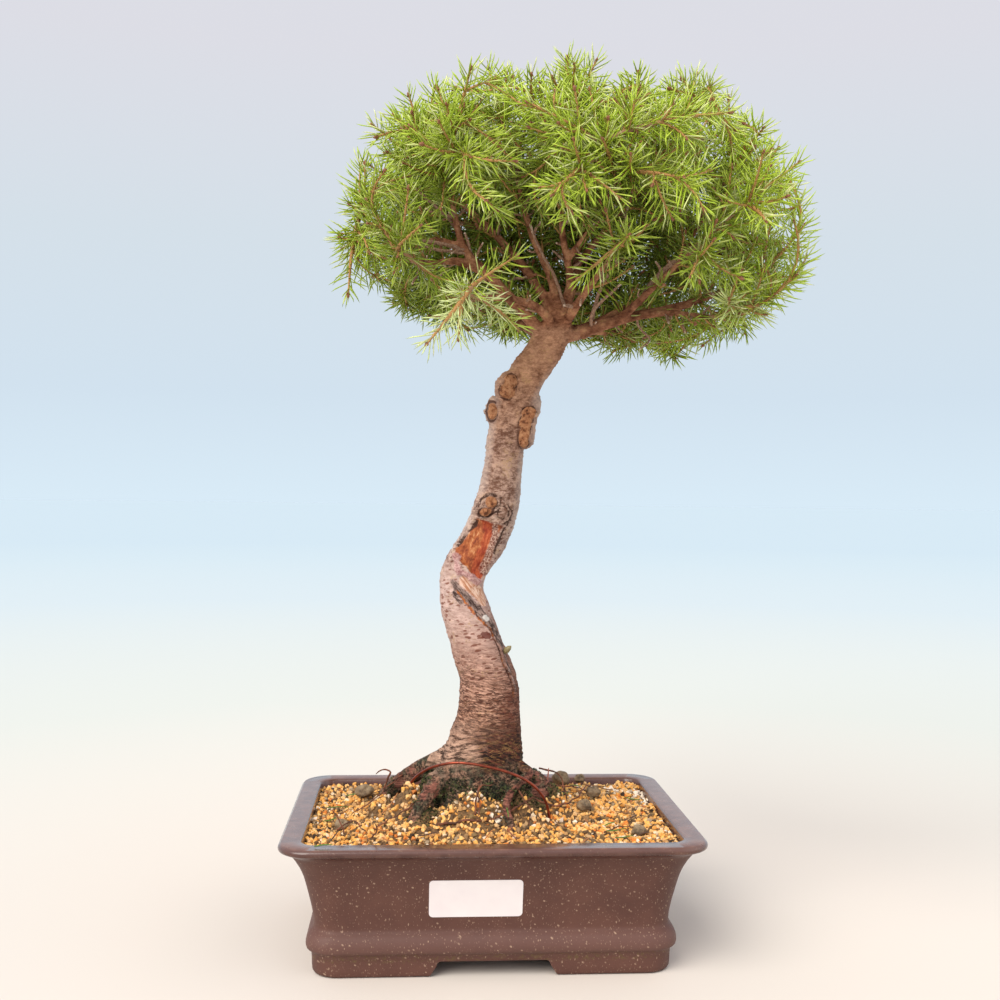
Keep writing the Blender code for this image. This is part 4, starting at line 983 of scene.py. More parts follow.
# Bud on the bark. A small green-yellow bud under thin papery scales, which has broken from the living bark
# beside the dead strip and stands on it.
bm = bmesh.new()
low, high = (Vector(point) for point in BUD_AT_CRACK)
add_rod(bm, [low, low.lerp(high, 0.4), low.lerp(high, 0.8), high], [1.1, 1.9, 1.35, 0.45], 12)
bud = piece(bm, "bark_bud")
bud.data.shade_smooth()
bud.data.materials.append(two_tone(
    "young_bud", (0.10, 0.07, 0.03), (0.36, 0.29, 0.13), patch=(0.8, 2), span=(0, 1), depth=0.2,
    roughness=0.5,
))
settle(bud, "spruce_bark")

# Gravel. Screened ochre baked-clay grains of 2 to 4 mm with some pumice, dark lava and old soil, heaped
# slightly towards the trunk. A solid bed stands under the loose top layer.
SOIL_EDGE = 69.5
MOUND_HEIGHT = 9.5
MOUND_SPREAD = 46
BED_STEP = 2.4
# Heaps against the trunk: middle, spread along and across, rise, and whether moss covers it
HEAPS = (
    (-10, -31, 15, 14, 17, 0), (16, -27, 13, 10, 15, 1), (34, -13, 11, 10, 18, 1),
    (-46, -14, 9, 9, 20, 0), (-62, 2, 11, 10, 9, 0), (-39, -33, 12, 10, 9, 1), (36, 12, 12, 12, 6, 1),
    (-20, 26, 18, 12, 7, 1), (49, 47, 12, 10, 3, 0),
)
# Grains of white pumice gathered along these lines
PALE_LINES = (
    ((62, 62), (98, 52), (100, 20)), ((-96, -68), (-84, -70)), ((-48, -70), (-28, -71)),
    ((72, -68), (78, -66)),
)
PALE_SPOTS = ((-12, -36), (-8, -37), (3, -38))
BED_SINK = 0.9
FILL_CLEARANCE = 0.4
FILL_TOP = 90
LOWEST_GRAINS = SOIL_EDGE - 8
GRAIN_GAP = 1.64
GRAIN_LEAST = 2.1
GRAIN_MOST = 4.5
GRAIN_DENSITY = 4e5
GRAIN_SEED = 11
GRAIN_SHAPES = 7
GRAIN_CORNERS = 13
PEBBLES = (
    (49.5, 48, 79.0, 5.6), (63, 60, 76.0, 3.4), (-74, 34, 75.0, 5.4), (56, -10, 76.5, 4.2),
    (68, 34, 73.5, 4.4), (-58, 44, 74.5, 4.6), (20, 52, 76.0, 4.8), (-84, -30, 71.5, 4.2),
    (82, -46, 71.5, 4.0),
)
PEBBLE_DENT = Vector((0.35, -0.7, 0.6))
PEBBLE_SHAPE = Vector((1, 0.8, 0.8))


def bed_height(x, y):
    away = math.hypot(x, y * 1.15)
    drift = noise.noise(Vector((x, y, 0)) / 17) * 1.3
    heaped = sum(
        rise * math.exp(-((x - middle_x) / along) ** 2 - ((y - middle_y) / across) ** 2)
        for middle_x, middle_y, along, across, rise, _ in HEAPS
    )
    return SOIL_EDGE + MOUND_HEIGHT * math.exp(-(away / MOUND_SPREAD) ** 2) + drift + heaped


class Modeller(Graph):
    """A Geometry Nodes tree with named inputs, for what repeats."""

    def __init__(self, name, **inputs):
        super().__init__(bpy.data.node_groups.new(name, "GeometryNodeTree"))
        sockets = self.tree.interface
        sockets.new_socket("Geometry", in_out="INPUT", socket_type="NodeSocketGeometry")
        sockets.new_socket("Geometry", in_out="OUTPUT", socket_type="NodeSocketGeometry")
        self.keys = {}
        for label, kind in inputs.items():
            item = sockets.new_socket(label, in_out="INPUT", socket_type=f"NodeSocket{kind}")
            self.keys[label] = item.identifier
        node = self.tree.nodes.new("NodeGroupInput")
        self.geometry, *rest = [Value(self, socket) for socket in node.outputs[:-1]]
        self.given = dict(zip(inputs, rest))

    def store(self, geometry, name, value, domain="POINT"):
        settings = {"data_type": "FLOAT", "domain": domain}
        inputs = {"Geometry": geometry, "Name": name, "Value": value}
        return self.node("GeometryNodeStoreNamedAttribute", settings, inputs)

    def recall(self, name):
        return self.node("GeometryNodeInputNamedAttribute", {"data_type": "FLOAT"}, {"Name": name})

    def random(self, low, high, seed):
        return self.node("FunctionNodeRandomValue", {"data_type": "FLOAT"}, {2: low, 3: high, 8: seed}, 1)

    def random_vector(self, low, high, seed):
        settings = {"data_type": "FLOAT_VECTOR"}
        return self.node("FunctionNodeRandomValue", settings, {0: low, 1: high, 8: seed}, 0)

    def spots(self, chosen, density):
        """Points spread over the chosen faces, Gap or more apart, and the way that each faces."""
        return self.node("GeometryNodeDistributePointsOnFaces", {"distribute_method": "POISSON"}, {
            "Mesh": self.geometry, "Selection": chosen, "Distance Min": self.given["Gap"],
            "Density Max": density, "Seed": self.given["Seed"],
        }, ["Points", "Rotation"])

    def shape(self, obj):
        return self.node("GeometryNodeObjectInfo", None, {"Object": obj}, "Geometry")

    def copies(self, points, shape, turn, scale, more=None):
        """A copy of a shape at each point."""
        inputs = {"Points": points, "Instance": shape, "Rotation": turn, "Scale": scale, **(more or {})}
        return self.node("GeometryNodeInstanceOnPoints", None, inputs)

    def about(self, axis, angle):
        return self.node("FunctionNodeAxisAngleToRotation", None, {"Axis": axis, "Angle": angle})

    def turned(self, first, by):
        inputs = {"Rotation": first, "Rotate By": by}
        return self.node("FunctionNodeRotateRotation", {"rotation_space": "LOCAL"}, inputs)

    def finish(self, geometry, material):
        """Makes the instances real and gives them their material."""
        real = self.node("GeometryNodeRealizeInstances", None, {"Geometry": geometry})
        return self.node("GeometryNodeSetMaterial", None, {"Geometry": real, "Material": material})

    def close(self, *geometries):
        joined = self.node("GeometryNodeJoinGeometry", None, {0: list(geometries)})
        self.tree.links.new(joined.socket, self.tree.nodes.new("NodeGroupOutput").inputs[0])

    def run(self, obj, **values):
        """Grows the tree's result on an object and keeps it as a plain mesh."""
        modifier = obj.modifiers.new("Grow", "NODES")
        modifier.node_group = self.tree
        for label, value in values.items():
            modifier[self.keys[label]] = value
        return plain(obj)


def fill_level(inset, height):
    return pot_ring(inset, height, INNER_CORNER, FILL_CLEARANCE)


def without(mesh, unwanted):
    """A mesh's copy to build on, without the faces that unwanted holds for."""
    bm = bmesh.new()
    bm.from_mesh(mesh)
    bmesh.ops.delete(bm, geom=[face for face in bm.faces if unwanted(face)], context="FACES")
    return bm


columns = round(POT_LENGTH / BED_STEP)
rows = round(POT_DEPTH / BED_STEP)
bm = bmesh.new()
bmesh.ops.create_grid(bm, x_segments=columns, y_segments=rows, size=0.5)
for vert in bm.verts:
    x, y = vert.co.x * POT_LENGTH, vert.co.y * POT_DEPTH
    vert.co = Vector((x, y, bed_height(x, y) - BED_SINK)) * MM
skirt = bmesh.ops.extrude_edge_only(bm, edges=[edge for edge in bm.edges if edge.is_boundary])
for vert in (item for item in skirt["geom"] if isinstance(item, bmesh.types.BMVert)):
    vert.co.z = 0
bmesh.ops.contextual_create(bm, geom=[edge for edge in bm.edges if edge.is_boundary])
bmesh.ops.recalc_face_normals(bm, faces=bm.faces)
bed = piece(bm, "gravel_bed")
fill = [fill_level(inset, height) for inset, height in reversed(inner_profile)]
fill[0] = fill_level(inner_profile[-1].x, SCREEN_LOW + STRAND)
fill.append(fill_level(inner_profile[0].x, FILL_TOP))
cut(bed, skin(fill, "fill"), "INTERSECT")

# The bed under the grains is much darker than they are and shows only in the gaps between them
bed.data.materials.append(two_tone(
    "packed_fines", (0.05, 0.027, 0.012), (0.26, 0.14, 0.055), patch=(1.6, 4, 0.7), depth=0.8, roughness=0.95,
))

gravel = Finish("baked_clay_grains", roughness=0.9, specular_ior_level=0.25)
spot = gravel.place()
tint = gravel.attribute("tint")
speck = gravel.noise(spot, 0.9, 3, 0.6)
colour = gravel.ramp(
    tint, (0.0, (0.86, 0.44, 0.115)), (0.18, (0.90, 0.53, 0.19)), (0.40, (0.74, 0.34, 0.08)),
    (0.52, (0.87, 0.54, 0.25)), (0.63, (0.48, 0.27, 0.11)), (0.71, (0.86, 0.68, 0.46)),
    (0.765, (0.24, 0.155, 0.07)), (0.845, (0.12, 0.07, 0.035)), (0.91, (0.72, 0.23, 0.045)),
    (0.96, (0.04, 0.026, 0.018)), (0.985, (0.90, 0.76, 0.60)), interpolation="CONSTANT",
)
not_pumice = tint.between(0.99, 0.98)
colour = gravel.mix(speck.between(0.5, 0.8) * 0.35 * not_pumice, colour, (0.20, 0.10, 0.04))
old_soil = gravel.noise(spot, 20, 2).between(0.5, 0.6) * tint.between(0.3, 0.4) * not_pumice
old_colour = gravel.mix(tint.between(0.5, 0.8), (0.30, 0.185, 0.09), (0.15, 0.10, 0.06))
colour = gravel.mix(old_soil * 0.75, colour, old_colour)
grain_finish = gravel.wear(colour, None, speck, 0.25)

chance = random.Random(GRAIN_SEED)
shapes = bpy.data.collections.new("grain_shapes")
for index in range(GRAIN_SHAPES):
    bm = bmesh.new()
    for _ in range(GRAIN_CORNERS):
        corner = Vector([chance.gauss(0, 1) for _ in range(3)]).normalized() * chance.uniform(0.85, 1.05)
        bm.verts.new(corner * 0.5)
    hull = bmesh.ops.convex_hull(bm, input=bm.verts)
    loose = [item for item in hull["geom_interior"] if isinstance(item, bmesh.types.BMVert)]
    bmesh.ops.delete(bm, geom=loose, context="VERTS")
    bmesh.ops.recalc_face_normals(bm, faces=bm.faces)
    shapes.objects.link(bpy.data.objects.new(f"grain_{index}", mesh_of(bm, "grain")))

scatter = Modeller("scattered_grains", Gap="Float", Least="Float", Most="Float", Seed="Int")
given = scatter.given
facing = scatter.node("GeometryNodeInputNormal")
level = scatter.parts(facing)[2].math("GREATER_THAN", 0.4) * scatter.recall("moss").math("LESS_THAN", 0.5)
points, _ = scatter.spots(level, GRAIN_DENSITY)
kinds = scatter.node("GeometryNodeCollectionInfo", None, {
    "Collection": shapes, "Separate Children": True, "Reset Children": True,
})
any_way = scatter.random_vector((0, 0, 0), (6.28, 6.28, 6.28), 2)
spin = scatter.node("FunctionNodeEulerToRotation", None, {0: any_way})
size = scatter.random(0.0, 1.0, 3) ** 1.6 * (given["Most"] - given["Least"]) + given["Least"]
sides = [(0.85, 1.2), (0.8, 1.15), (0.7, 1.0)]
shape = scatter.whole(*[size * scatter.random(*span, seed) for seed, span in enumerate(sides, 4)])
grains = scatter.copies(points, kinds, spin, shape, {"Pick Instance": True})
lift = scatter.whole(0, 0, scatter.random(-0.5 * MM, 0.9 * MM, 7))
grains = scatter.node(
    "GeometryNodeTranslateInstances", None, {"Instances": grains, "Translation": lift, "Local Space": False},
)
white = scatter.random(0.0, 1.0, 9).math("LESS_THAN", scatter.recall("pale"))
grains = scatter.store(grains, "tint", scatter.random(0.0, 1.0, 8) + white, "INSTANCE")
scatter.close(scatter.finish(grains, grain_finish))

top = piece(without(
    bed.data, lambda face: face.normal.z < 0.5 or face.calc_center_median().z < LOWEST_GRAINS * MM,
), "gravel_grains")
places = read(top.data, "co") / MM
mossy = lumps(places, 8, 2.0) * 0.5 - 0.15
for middle_x, middle_y, along, across, rise, covered in HEAPS:
    near = numpy.exp(-((places[:, 0] - middle_x) / along) ** 2 - ((places[:, 1] - middle_y) / across) ** 2)
    mossy += near * (1.1 if covered else -0.8)
keep(top.data, "moss", eased(mossy, 0.2, 0.6))
near_pale = numpy.minimum.reduce([edge_distance(places[:, :2], line) for line in PALE_LINES])
for place in PALE_SPOTS:
    near_pale = numpy.minimum(near_pale, numpy.linalg.norm(places[:, :2] - place, axis=1))
keep(top.data, "pale", 0.8 * numpy.exp(-(near_pale / 3.5) ** 2))
damp_ground = top.data.copy()
scatter.run(top, Gap=GRAIN_GAP * MM, Least=GRAIN_LEAST * MM, Most=GRAIN_MOST * MM, Seed=3)
settle(bed, "ochre_gravel", "soil")
settle(top, "ochre_gravel")

bm = bmesh.new()
for number, (x, y, z, size) in enumerate(PEBBLES):
    made = bmesh.ops.create_icosphere(bm, subdivisions=4, radius=1)["verts"]
    for vert in made:
        bump = 1 + noise.noise(vert.co * 1.3 + Vector((number * 5, 0, 0))) * 0.22
        bump += noise.noise(vert.co * 4) * 0.05
        bump -= 0.3 * math.exp(-((vert.co - PEBBLE_DENT).length / 0.4) ** 2)
        vert.co = (Vector((x, y, z)) + vert.co * PEBBLE_SHAPE * size * bump) * MM
pebbles = piece(bm, "pebbles")
pebbles.data.shade_smooth()
stone = Finish("brown_pebble", roughness=0.75)
spot = stone.place()
patch = stone.noise(spot, 5, 4, 0.65)
pits = stone.noise(spot, 0.9, 3, 0.6)
pebbles.data.materials.append(stone.wear(
    stone.ramp(patch, (0.35, (0.075, 0.05, 0.028)), (0.5, (0.22, 0.15, 0.085)), (0.65, (0.30, 0.22, 0.13))),
    None, pits, 0.35,
))
settle(pebbles, "ochre_gravel")

# Moss and fine roots. Dark green cushions of short moss hold the damp between the roots, with thin
# red-brown roots and dry twiglets lying over them.
FINE_ROOT_SIDES = 8
MOSS_GAP = 0.95
MOSS_TALL = 1.9
MOSS_BLADES = 5
MOSS_BLADE_RADIUS = 0.28
MOSS_DENSITY = 2e6
MOSSY_HEIGHTS = (70, 108)
WANDER_SEED = 7
FINE_ROOTS = (
    (0.75, (
        (-34, -41, 75), (-14, -46, 77), (0, -44, 78), (8, -41, 80.5), (23, -32, 86), (36, -33, 82),
        (50, -20, 83), (57, -4, 85.5), (62, 4, 84),
    )),
    (0.55, ((30, -6, 97), (40, -10, 96), (44, -13, 88), (45, -15, 80), (46, -16, 74))),
    (0.6, ((-30, -20, 92), (-40, -30, 86), (-52, -36, 79), (-64, -40, 73))),
    (0.5, ((-6, -33, 97), (-8, -39, 93), (-7, -44, 86), (-9, -48, 78))),
    (0.5, ((-50, 6, 91), (-58, 2, 86), (-68, -8, 79), (-80, -14, 73))),
    (0.45, ((16, -30, 92), (17, -38, 88), (21, -44, 82), (20, -50, 76))),
    (0.5, ((40, 8, 84), (52, 14, 82), (60, 26, 77), (66, 40, 72))),
    (0.55, ((-20, 26, 94), (-32, 38, 84), (-36, 54, 76), (-48, 62, 71))),
)
TWIGLETS = (
    (0.6, ((-61, 2, 84), (-58, 1, 93), (-60, 0, 96), (-64, -1, 95), (-66, -1, 93))),
    (0.55, ((-10, -44, 80), (-9, -42, 90), (-6, -40, 95), (0, -40, 96))),
    (0.5, ((-86, -42, 72), (-78, -47, 78), (-70, -50, 73.5))),
    (0.45, ((-82, -50, 72), (-84, -47, 78), (-88, -44, 83))),
    (0.5, ((-66, -58, 71.5), (-63, -60, 77), (-64, -61, 80))),
    (0.4, ((62, -46, 71), (72, -42, 73), (80, -40, 72))),
)

moss_green = Finish("damp_moss", roughness=0.9, specular_ior_level=0.1)
tint = moss_green.attribute("tint")
moss_finish = moss_green.wear(moss_green.mix(tint, (0.014, 0.022, 0.014), (0.20, 0.22, 0.085)), None, None, 0)
bm = bmesh.new()
for index in range(MOSS_BLADES):
    lean = Matrix.Rotation(index * 2.4, 4, "Z") @ Matrix.Rotation(0.25 + 0.12 * index, 4, "X")
    tall = MOSS_TALL * (0.65 + 0.35 * math.sin(index * 2.0) ** 2)
    bmesh.ops.create_cone(
        bm, cap_ends=True, segments=3, radius1=MOSS_BLADE_RADIUS * MM, radius2=0, depth=tall * MM,
        matrix=lean @ Matrix.Translation((0, 0, tall * 0.4 * MM)),
    )
tuft = bpy.data.objects.new("moss_tuft", mesh_of(bm, "moss_tuft"))

cushion = Modeller("moss_cushions", Gap="Float", Seed="Int")
points, tilt = cushion.spots(cushion.recall("moss").math("GREATER_THAN", 0.45), MOSS_DENSITY)
turned = cushion.turned(tilt, cushion.about((0, 0, 1), cushion.random(0.0, math.tau, 31)))
tufts = cushion.copies(points, cushion.shape(tuft), turned, cushion.random(0.6, 1.25, 32))
tufts = cushion.store(tufts, "tint", cushion.random(0.0, 1.0, 33) ** 2.0, "INSTANCE")
cushion.close(cushion.finish(tufts, moss_finish))
ground_moss = put("ground_moss", damp_ground)
cushion.run(ground_moss, Gap=MOSS_GAP * MM, Seed=1)
settle(ground_moss, "ochre_gravel")
lowest, highest = MOSSY_HEIGHTS
bm = without(wood.data, lambda face: not lowest * MM < face.calc_center_median().z < highest * MM)
bmesh.ops.translate(bm, verts=bm.verts, vec=-POT_PLACE)
root_moss = piece(bm, "root_moss")
cushion.run(root_moss, Gap=MOSS_GAP * MM, Seed=2)
settle(root_moss, "spruce_bark")

# Until it has a seed, noise_vector starts from the clock and bends the routes another way in every run
noise.seed_set(WANDER_SEED)
bm = bmesh.new()
for thick, route in FINE_ROOTS + TWIGLETS:
    steps = len(route) * 7
    points = [point + noise.noise_vector(point / 5) * 1.1 for point in smooth_route(route, steps)]
    radii = []
    for index, point in enumerate(points):
        radii.append(thick * (1 + 0.25 * noise.noise(point / 2)) * (1 - 0.5 * index / steps))
    add_rod(bm, points, radii, FINE_ROOT_SIDES)
fine_roots = piece(bm, "fine_roots")
fine_roots.data.shade_smooth()
fine_roots.data.materials.append(two_tone(
    "root_skin", (0.055, 0.025, 0.016), (0.24, 0.085, 0.045), patch=(6, 3, 0.6), tooth=(0.8, 2, 0.6),
    roughness=0.75, specular_ior_level=0.25,
))
settle(fine_roots, "spruce_bark")

# Litter. Shed needles, green, brown and orange, and bits of dry twig, which have dropped from the crown and
# lie loose on the gravel and one on the rim.
LITTER_SEED = 21
LITTER_COUNT = 60
LITTER_SIDES = 5
LITTER_PLACES = ((-92, 92), (-66, 62))
LITTER_CLEAR_OF_TRUNK = 44
PLACED_LITTER = (
    ((-95, -79.5, 73.9), (-86, -77.5, 74.2), 0.1), ((62, -50, 75.5), (68, -47, 76.5), 0.1),
    ((-5, -64, 72.8), (-1, -61, 76.5), 0.8), ((33.7, -16, 92), (34.6, -13, 99), 0.95),
    ((8, -43, 84), (9, -44.5, 79), 0.1),
)


def add_shed(points, radii, tint):
    start = len(bm.verts)
    add_rod(bm, points, radii, LITTER_SIDES)
    bm.verts.ensure_lookup_table()
    for vert in bm.verts[start:]:
        vert[layer] = tint


bm = bmesh.new()
layer = bm.verts.layers.float.new("tint")
chance = random.Random(LITTER_SEED)
for low, high, tint in PLACED_LITTER:
    low, high = Vector(low), Vector(high)
    add_shed([low, low.lerp(high, 0.5) + Vector((0, 0, 0.4)), high], [0.35, 0.42, 0.25], tint)
for _ in range(LITTER_COUNT):
    x, y = [chance.uniform(*span) for span in LITTER_PLACES]
    if math.hypot(x, y) < LITTER_CLEAR_OF_TRUNK:
        continue
    turn, length = chance.uniform(0, math.tau), chance.uniform(4, 7)
    half = Vector((math.cos(turn), math.sin(turn), 0)) * length
    ends = [Vector((x, y, 0)) + half * side for side in (-1, 0, 1)]
    for place in ends:
        place.z = bed_height(place.x, place.y) + chance.uniform(1.2, 2.4)
    add_shed(ends, [0.3, 0.42, 0.22], chance.random())
litter = piece(bm, "litter")
shed = Finish("shed_needles", roughness=0.6)
tint = shed.attribute("tint")
fleck = shed.noise(shed.place(), 1.2, 2)
colour = shed.ramp(
    tint, (0.0, (0.12, 0.24, 0.03)), (0.2, (0.26, 0.13, 0.05)), (0.55, (0.10, 0.05, 0.03)),
    (0.75, (0.55, 0.20, 0.05)), (0.9, (0.30, 0.09, 0.05)), interpolation="CONSTANT",
)
litter.data.materials.append(shed.wear(shed.mix(fleck * 0.4, colour, (0.06, 0.03, 0.02)), None, None, 0))
settle(litter, "spruce_needles")

# Dead twigs. Bare stubs and thin dry side twigs left on the limbs inside the crown, broken off pale at
# their ends.
DEAD_TWIGS = (
    (1.7, ((88, 4, 378), (101.3, -12, 393.2), (113.6, -18, 401.1), (125, -24, 408.8))),
    (1.0, ((113.6, -18, 399), (118, -20, 386.2), (122.3, -22, 379), (126.6, -24, 375.3))),
    (1.1, ((-5, -13, 382), (-13.8, -20, 395.7), (-17, -26, 402.9), (-18.3, -28, 406.5))),
    (0.9, ((-13.8, -20, 396.9), (-20.9, -26, 397.7), (-26.1, -30, 394.5))),
    (1.0, ((-19.8, -22, 412.3), (-28.5, -26, 417.4), (-35.4, -30, 417.4), (-41.1, -32, 418.5))),
    (1.1, ((-23.8, -22, 412.2), (-32.5, -24, 420.1), (-41.1, -26, 426.7), (-48, -30, 431.7))),
    (1.2, ((-16, -22, 397), (-32.4, -28, 400.4), (-49.3, -30, 401.2), (-65.6, -32, 403.2))),
    (1.0, ((-16, -22, 396), (-32.3, -28, 396.4), (-44.8, -30, 398), (-54.9, -32, 399.5))),
    (1.4, ((71.8, -46, 422.1), (61, -50, 425.8), (49.2, -54, 431.6), (38.6, -58, 436.8))),
    (1.2, ((58, -4, 361), (61.2, -16, 378), (69.5, -28, 396.2), (70.3, -36, 408.7), (71.8, -46, 422.1))),
    (1.2, ((58, -3, 356), (57.5, -14, 365.5), (67.9, -18, 376.7), (72.2, -20, 380.5))),
    (1.0, ((121.2, -12, 374.2), (133.3, -16, 378.5), (139.9, -20, 382.7))),
    (0.8, ((84, -9, 363), (86.8, -8, 356.7), (92.1, -10, 350.4), (85.5, -14, 343.8))),
    (1.1, ((43, -2, 366), (35.6, -14, 383.6), (25.4, -20, 399.6), (18.9, -26, 412.5))),
)
STUB_SEED = 8
STUBS_PER_LIMB = 5
DRY_SIDES = 7
DRY_TAPER = 0.62
bm = bmesh.new()
layer = bm.verts.layers.float.new("along")
chance = random.Random(STUB_SEED)
stubs = list(DEAD_TWIGS)
for _, _, route in LIMBS.values():
    points = smooth_route(route, LIMB_STEPS)
    for _ in range(STUBS_PER_LIMB):
        index = chance.randrange(3, LIMB_STEPS - 2)
        forward = (points[index + 1] - points[index]).normalized()
        out = Vector([chance.uniform(-1, 1) for _ in range(3)]).cross(forward).normalized()
        reach = (forward * 0.5 + out).normalized() * chance.uniform(5, 14)
        crook = Vector([chance.uniform(-1, 1) for _ in range(3)]) * 1.2
        root = points[index]
        stubs.append((chance.uniform(0.7, 1.1), [root, root + reach * 0.5 + crook, root + reach]))
for thick, route in stubs:
    steps = len(route) * 5
    points = [point + noise.noise_vector(point / 4) * 0.7 for point in smooth_route(route, steps)]
    start = len(bm.verts)
    add_rod(bm, points, tapered(thick, thick * DRY_TAPER, steps), DRY_SIDES)
    bm.verts.ensure_lookup_table()
    for order, vert in enumerate(bm.verts[start:]):
        vert[layer] = order // DRY_SIDES / steps
dead_twigs = piece(bm, "dead_twigs")
dead_twigs.data.shade_smooth()
dry = Finish("dry_twig", roughness=0.85, specular_ior_level=0.25)
spot = dry.place()
split = dry.noise(spot, 1.2, 3, 0.7)
bare = dry.mix(split.between(0.35, 0.65), (0.20, 0.10, 0.06), (0.46, 0.28, 0.19))
ends = (dry.attribute("along") + (split - 0.5) * 0.5).between(0.84, 0.93)
dead_twigs.data.materials.append(dry.wear(dry.mix(ends * 0.8, bare, (0.70, 0.52, 0.40)), None, split, 0.5))
settle(dead_twigs, "spruce_bark")

# Needle sprays. Each limb ends in twigs that part again into shoots of one or two years, orange-brown and
# ribbed, with stiff needles of about 11 to 16 mm all round that lean forward, and red-brown buds at every
# tip.
CROWN_HEART = Vector((47, 0, 405))
CROWN_ACROSS = 129
CROWN_DEEP = 115
CROWN_UP = 95
CROWN_DOWN = 36
CROWN_DOWN_RIGHT = 24
CROWN_DOWN_BACK = 12
CROWN_POWER = 2.7
CROWN_SEED = 5
CROWN_LIMIT = 1.02
SHELL_POINTS = 76
SHELL_LOWEST = -0.5
SHELL_SPREAD = 0.04
SEEN_ROOM = 29
SEEN_TIPS = (
    (-6, -30, 499), (-36, -20, 491), (-51, 0, 492), (-71, 0, 474), (-79, 0, 451), (-81, -8, 431),
    (-88, -10, 408), (-84, -22, 372), (-39, -80, 337), (-22, -52, 344), (12, -32, 352), (44, 0, 508),
    (81, -40, 482), (105, 0, 502), (133, 0, 490), (166, 0, 466), (179, -4, 444), (181, 0, 411),
    (168, 0, 377), (160, 30, 362), (122, 60, 349), (82, 60, 352), (18, -44, 478), (-40, -66, 446),
    (-52, -44, 398), (128, -50, 362),
)
TWIG_RADIUS = 1.3
SHOOT_RADIUS = 0.85
TWIG_POINTS = 4
TWIG_ATTEMPTS = 8
TWIG_SWAY = 0.07
# Radii at both ends of the twigs' own wood, and of the shoots that part from them
TWIG_WOOD = (1.5, 0.55)
SHOOT_WOOD = (0.72, 0.5)
BRANCH_FIRST = 0.12
BRANCH_LAST = 0.58
TWIG_CLEARANCE = 1.0
SPRAY_GAP = 0.5
TWIG_PARTING = 0.8
GOLDEN_ANGLE = math.pi * (3 - math.sqrt(5))
YEAR_GROWTH = (29, 36)
SIDE_GROWTH = (19, 31)
INNER_GROWTH = (12, 26)
INNER_PLACES = (0.45, 0.6, 0.75, 0.9)
SHOOT_LEAN = (0.75, 1.1)
LEAST_SHOOT = 10
# The bare limbs are seen through a window in the crown: where the eye stands, and what it sees there
EYE = Vector((-43.6, -706, 255.5))
WINDOW_FRONT = -8
WINDOW_UP = (350, 420)
WINDOW_ACROSS = (-50, 120)
WINDOW_SHARE = 0.8
LEAFY_STEM = (50, 80)
YOUNG_STEM = 34
OLDER_YOUTH = 0.4
LOW_FRONT_TOP = 366
STATIONS = 12
FILL_LAYERS = ((0.97, 320), (0.86, 260), (0.74, 200), (0.6, 130), (0.45, 70))
FILL_LOWEST = -0.75
FILL_ROOM = 11
BACKDROP = ((-60, 135), (12, 100), (364, 474))
BACKDROP_POINTS = 1600
BACKDROP_ROOM = 9
FILL_REACH = 46
FILL_LEAST = 8
JOINT_STEPS = 12
UPTURN = 0.3
NEEDLE_PITCH = 0.82
NEEDLE_LENGTH = 15.5
NEEDLE_BEND = 0.11
NEEDLE_RADIUS = 0.43
# Where the needle's two rings stand along it, and their share of its radius
NEEDLE_RINGS = ((0, 0.75), (0.74, 0.95))
# The three buds of a tip: turn, lean and size
BUDS = ((0, 0, 1.0), (0.6, 0.7, 0.7), (3.5, 0.75, 0.62))
STEM_STEP = 3.0


class Room:
    """The straight pieces of wood laid so far, to keep new ones clear of them."""

    def __init__(self):
        self.starts, self.ends, self.radii, self.owners = [], [], [], []

    def add(self, points, radii, owner):
        for start, end, radius in zip(points, points[1:], radii):
            self.starts.append(tuple(start))
            self.ends.append(tuple(end))
            self.radii.append(radius)
            self.owners.append(owner)

    def clearance(self, start, end, radius, apart_from):
        """Least gap between a straight piece and all laid ones, except one owner's."""
        start, end = numpy.array(start), numpy.array(end)
        starts, ends = numpy.array(self.starts), numpy.array(self.ends)
        own, other, between = end - start, ends - starts, start - starts
        own_square, other_square, crossed = own @ own, (other ** 2).sum(1), other @ own
        own_lead, other_lead = between @ own, (between * other).sum(1)
        slant = numpy.maximum(own_square * other_square - crossed * crossed, 1e-12)
        along = numpy.clip((crossed * other_lead - own_lead * other_square) / slant, 0, 1)
        beside = numpy.clip((crossed * along + other_lead) / other_square, 0, 1)
        along = numpy.clip((crossed * beside - own_lead) / own_square, 0, 1)
        gaps = numpy.linalg.norm(between + along[:, None] * own - beside[:, None] * other, axis=1)
        gaps -= numpy.array(self.radii) + radius
        return gaps[numpy.array([owner != apart_from for owner in self.owners])].min()


def crown_reach(direction):
    """Distance from the crown's heart to its outline along a unit direction."""
    down = CROWN_DOWN + CROWN_DOWN_RIGHT * max(direction.x, 0) + CROWN_DOWN_BACK * max(direction.y, 0)
    upright = CROWN_UP if direction.z > 0 else down
    shares = (direction.x / CROWN_ACROSS, direction.y / CROWN_DEEP, direction.z / upright)
    return sum(abs(share) ** CROWN_POWER for share in shares) ** (-1 / CROWN_POWER)


def outline_share(point):
    """0 at the crown's heart, 1 on its outline."""
    away = point - CROWN_HEART
    return away.length / crown_reach(away.normalized())


def even_spread(number, lowest, start):
    """Unit directions spread evenly from straight up to the lowest rise."""
    directions = []
    for index in range(number):
        rise = 1 - (1 - lowest) * (index + 0.5) / number
        turn = index * GOLDEN_ANGLE + start
        level = math.sqrt(1 - rise * rise)
        directions.append(Vector((math.cos(turn) * level, math.sin(turn) * level, rise)))
    return directions


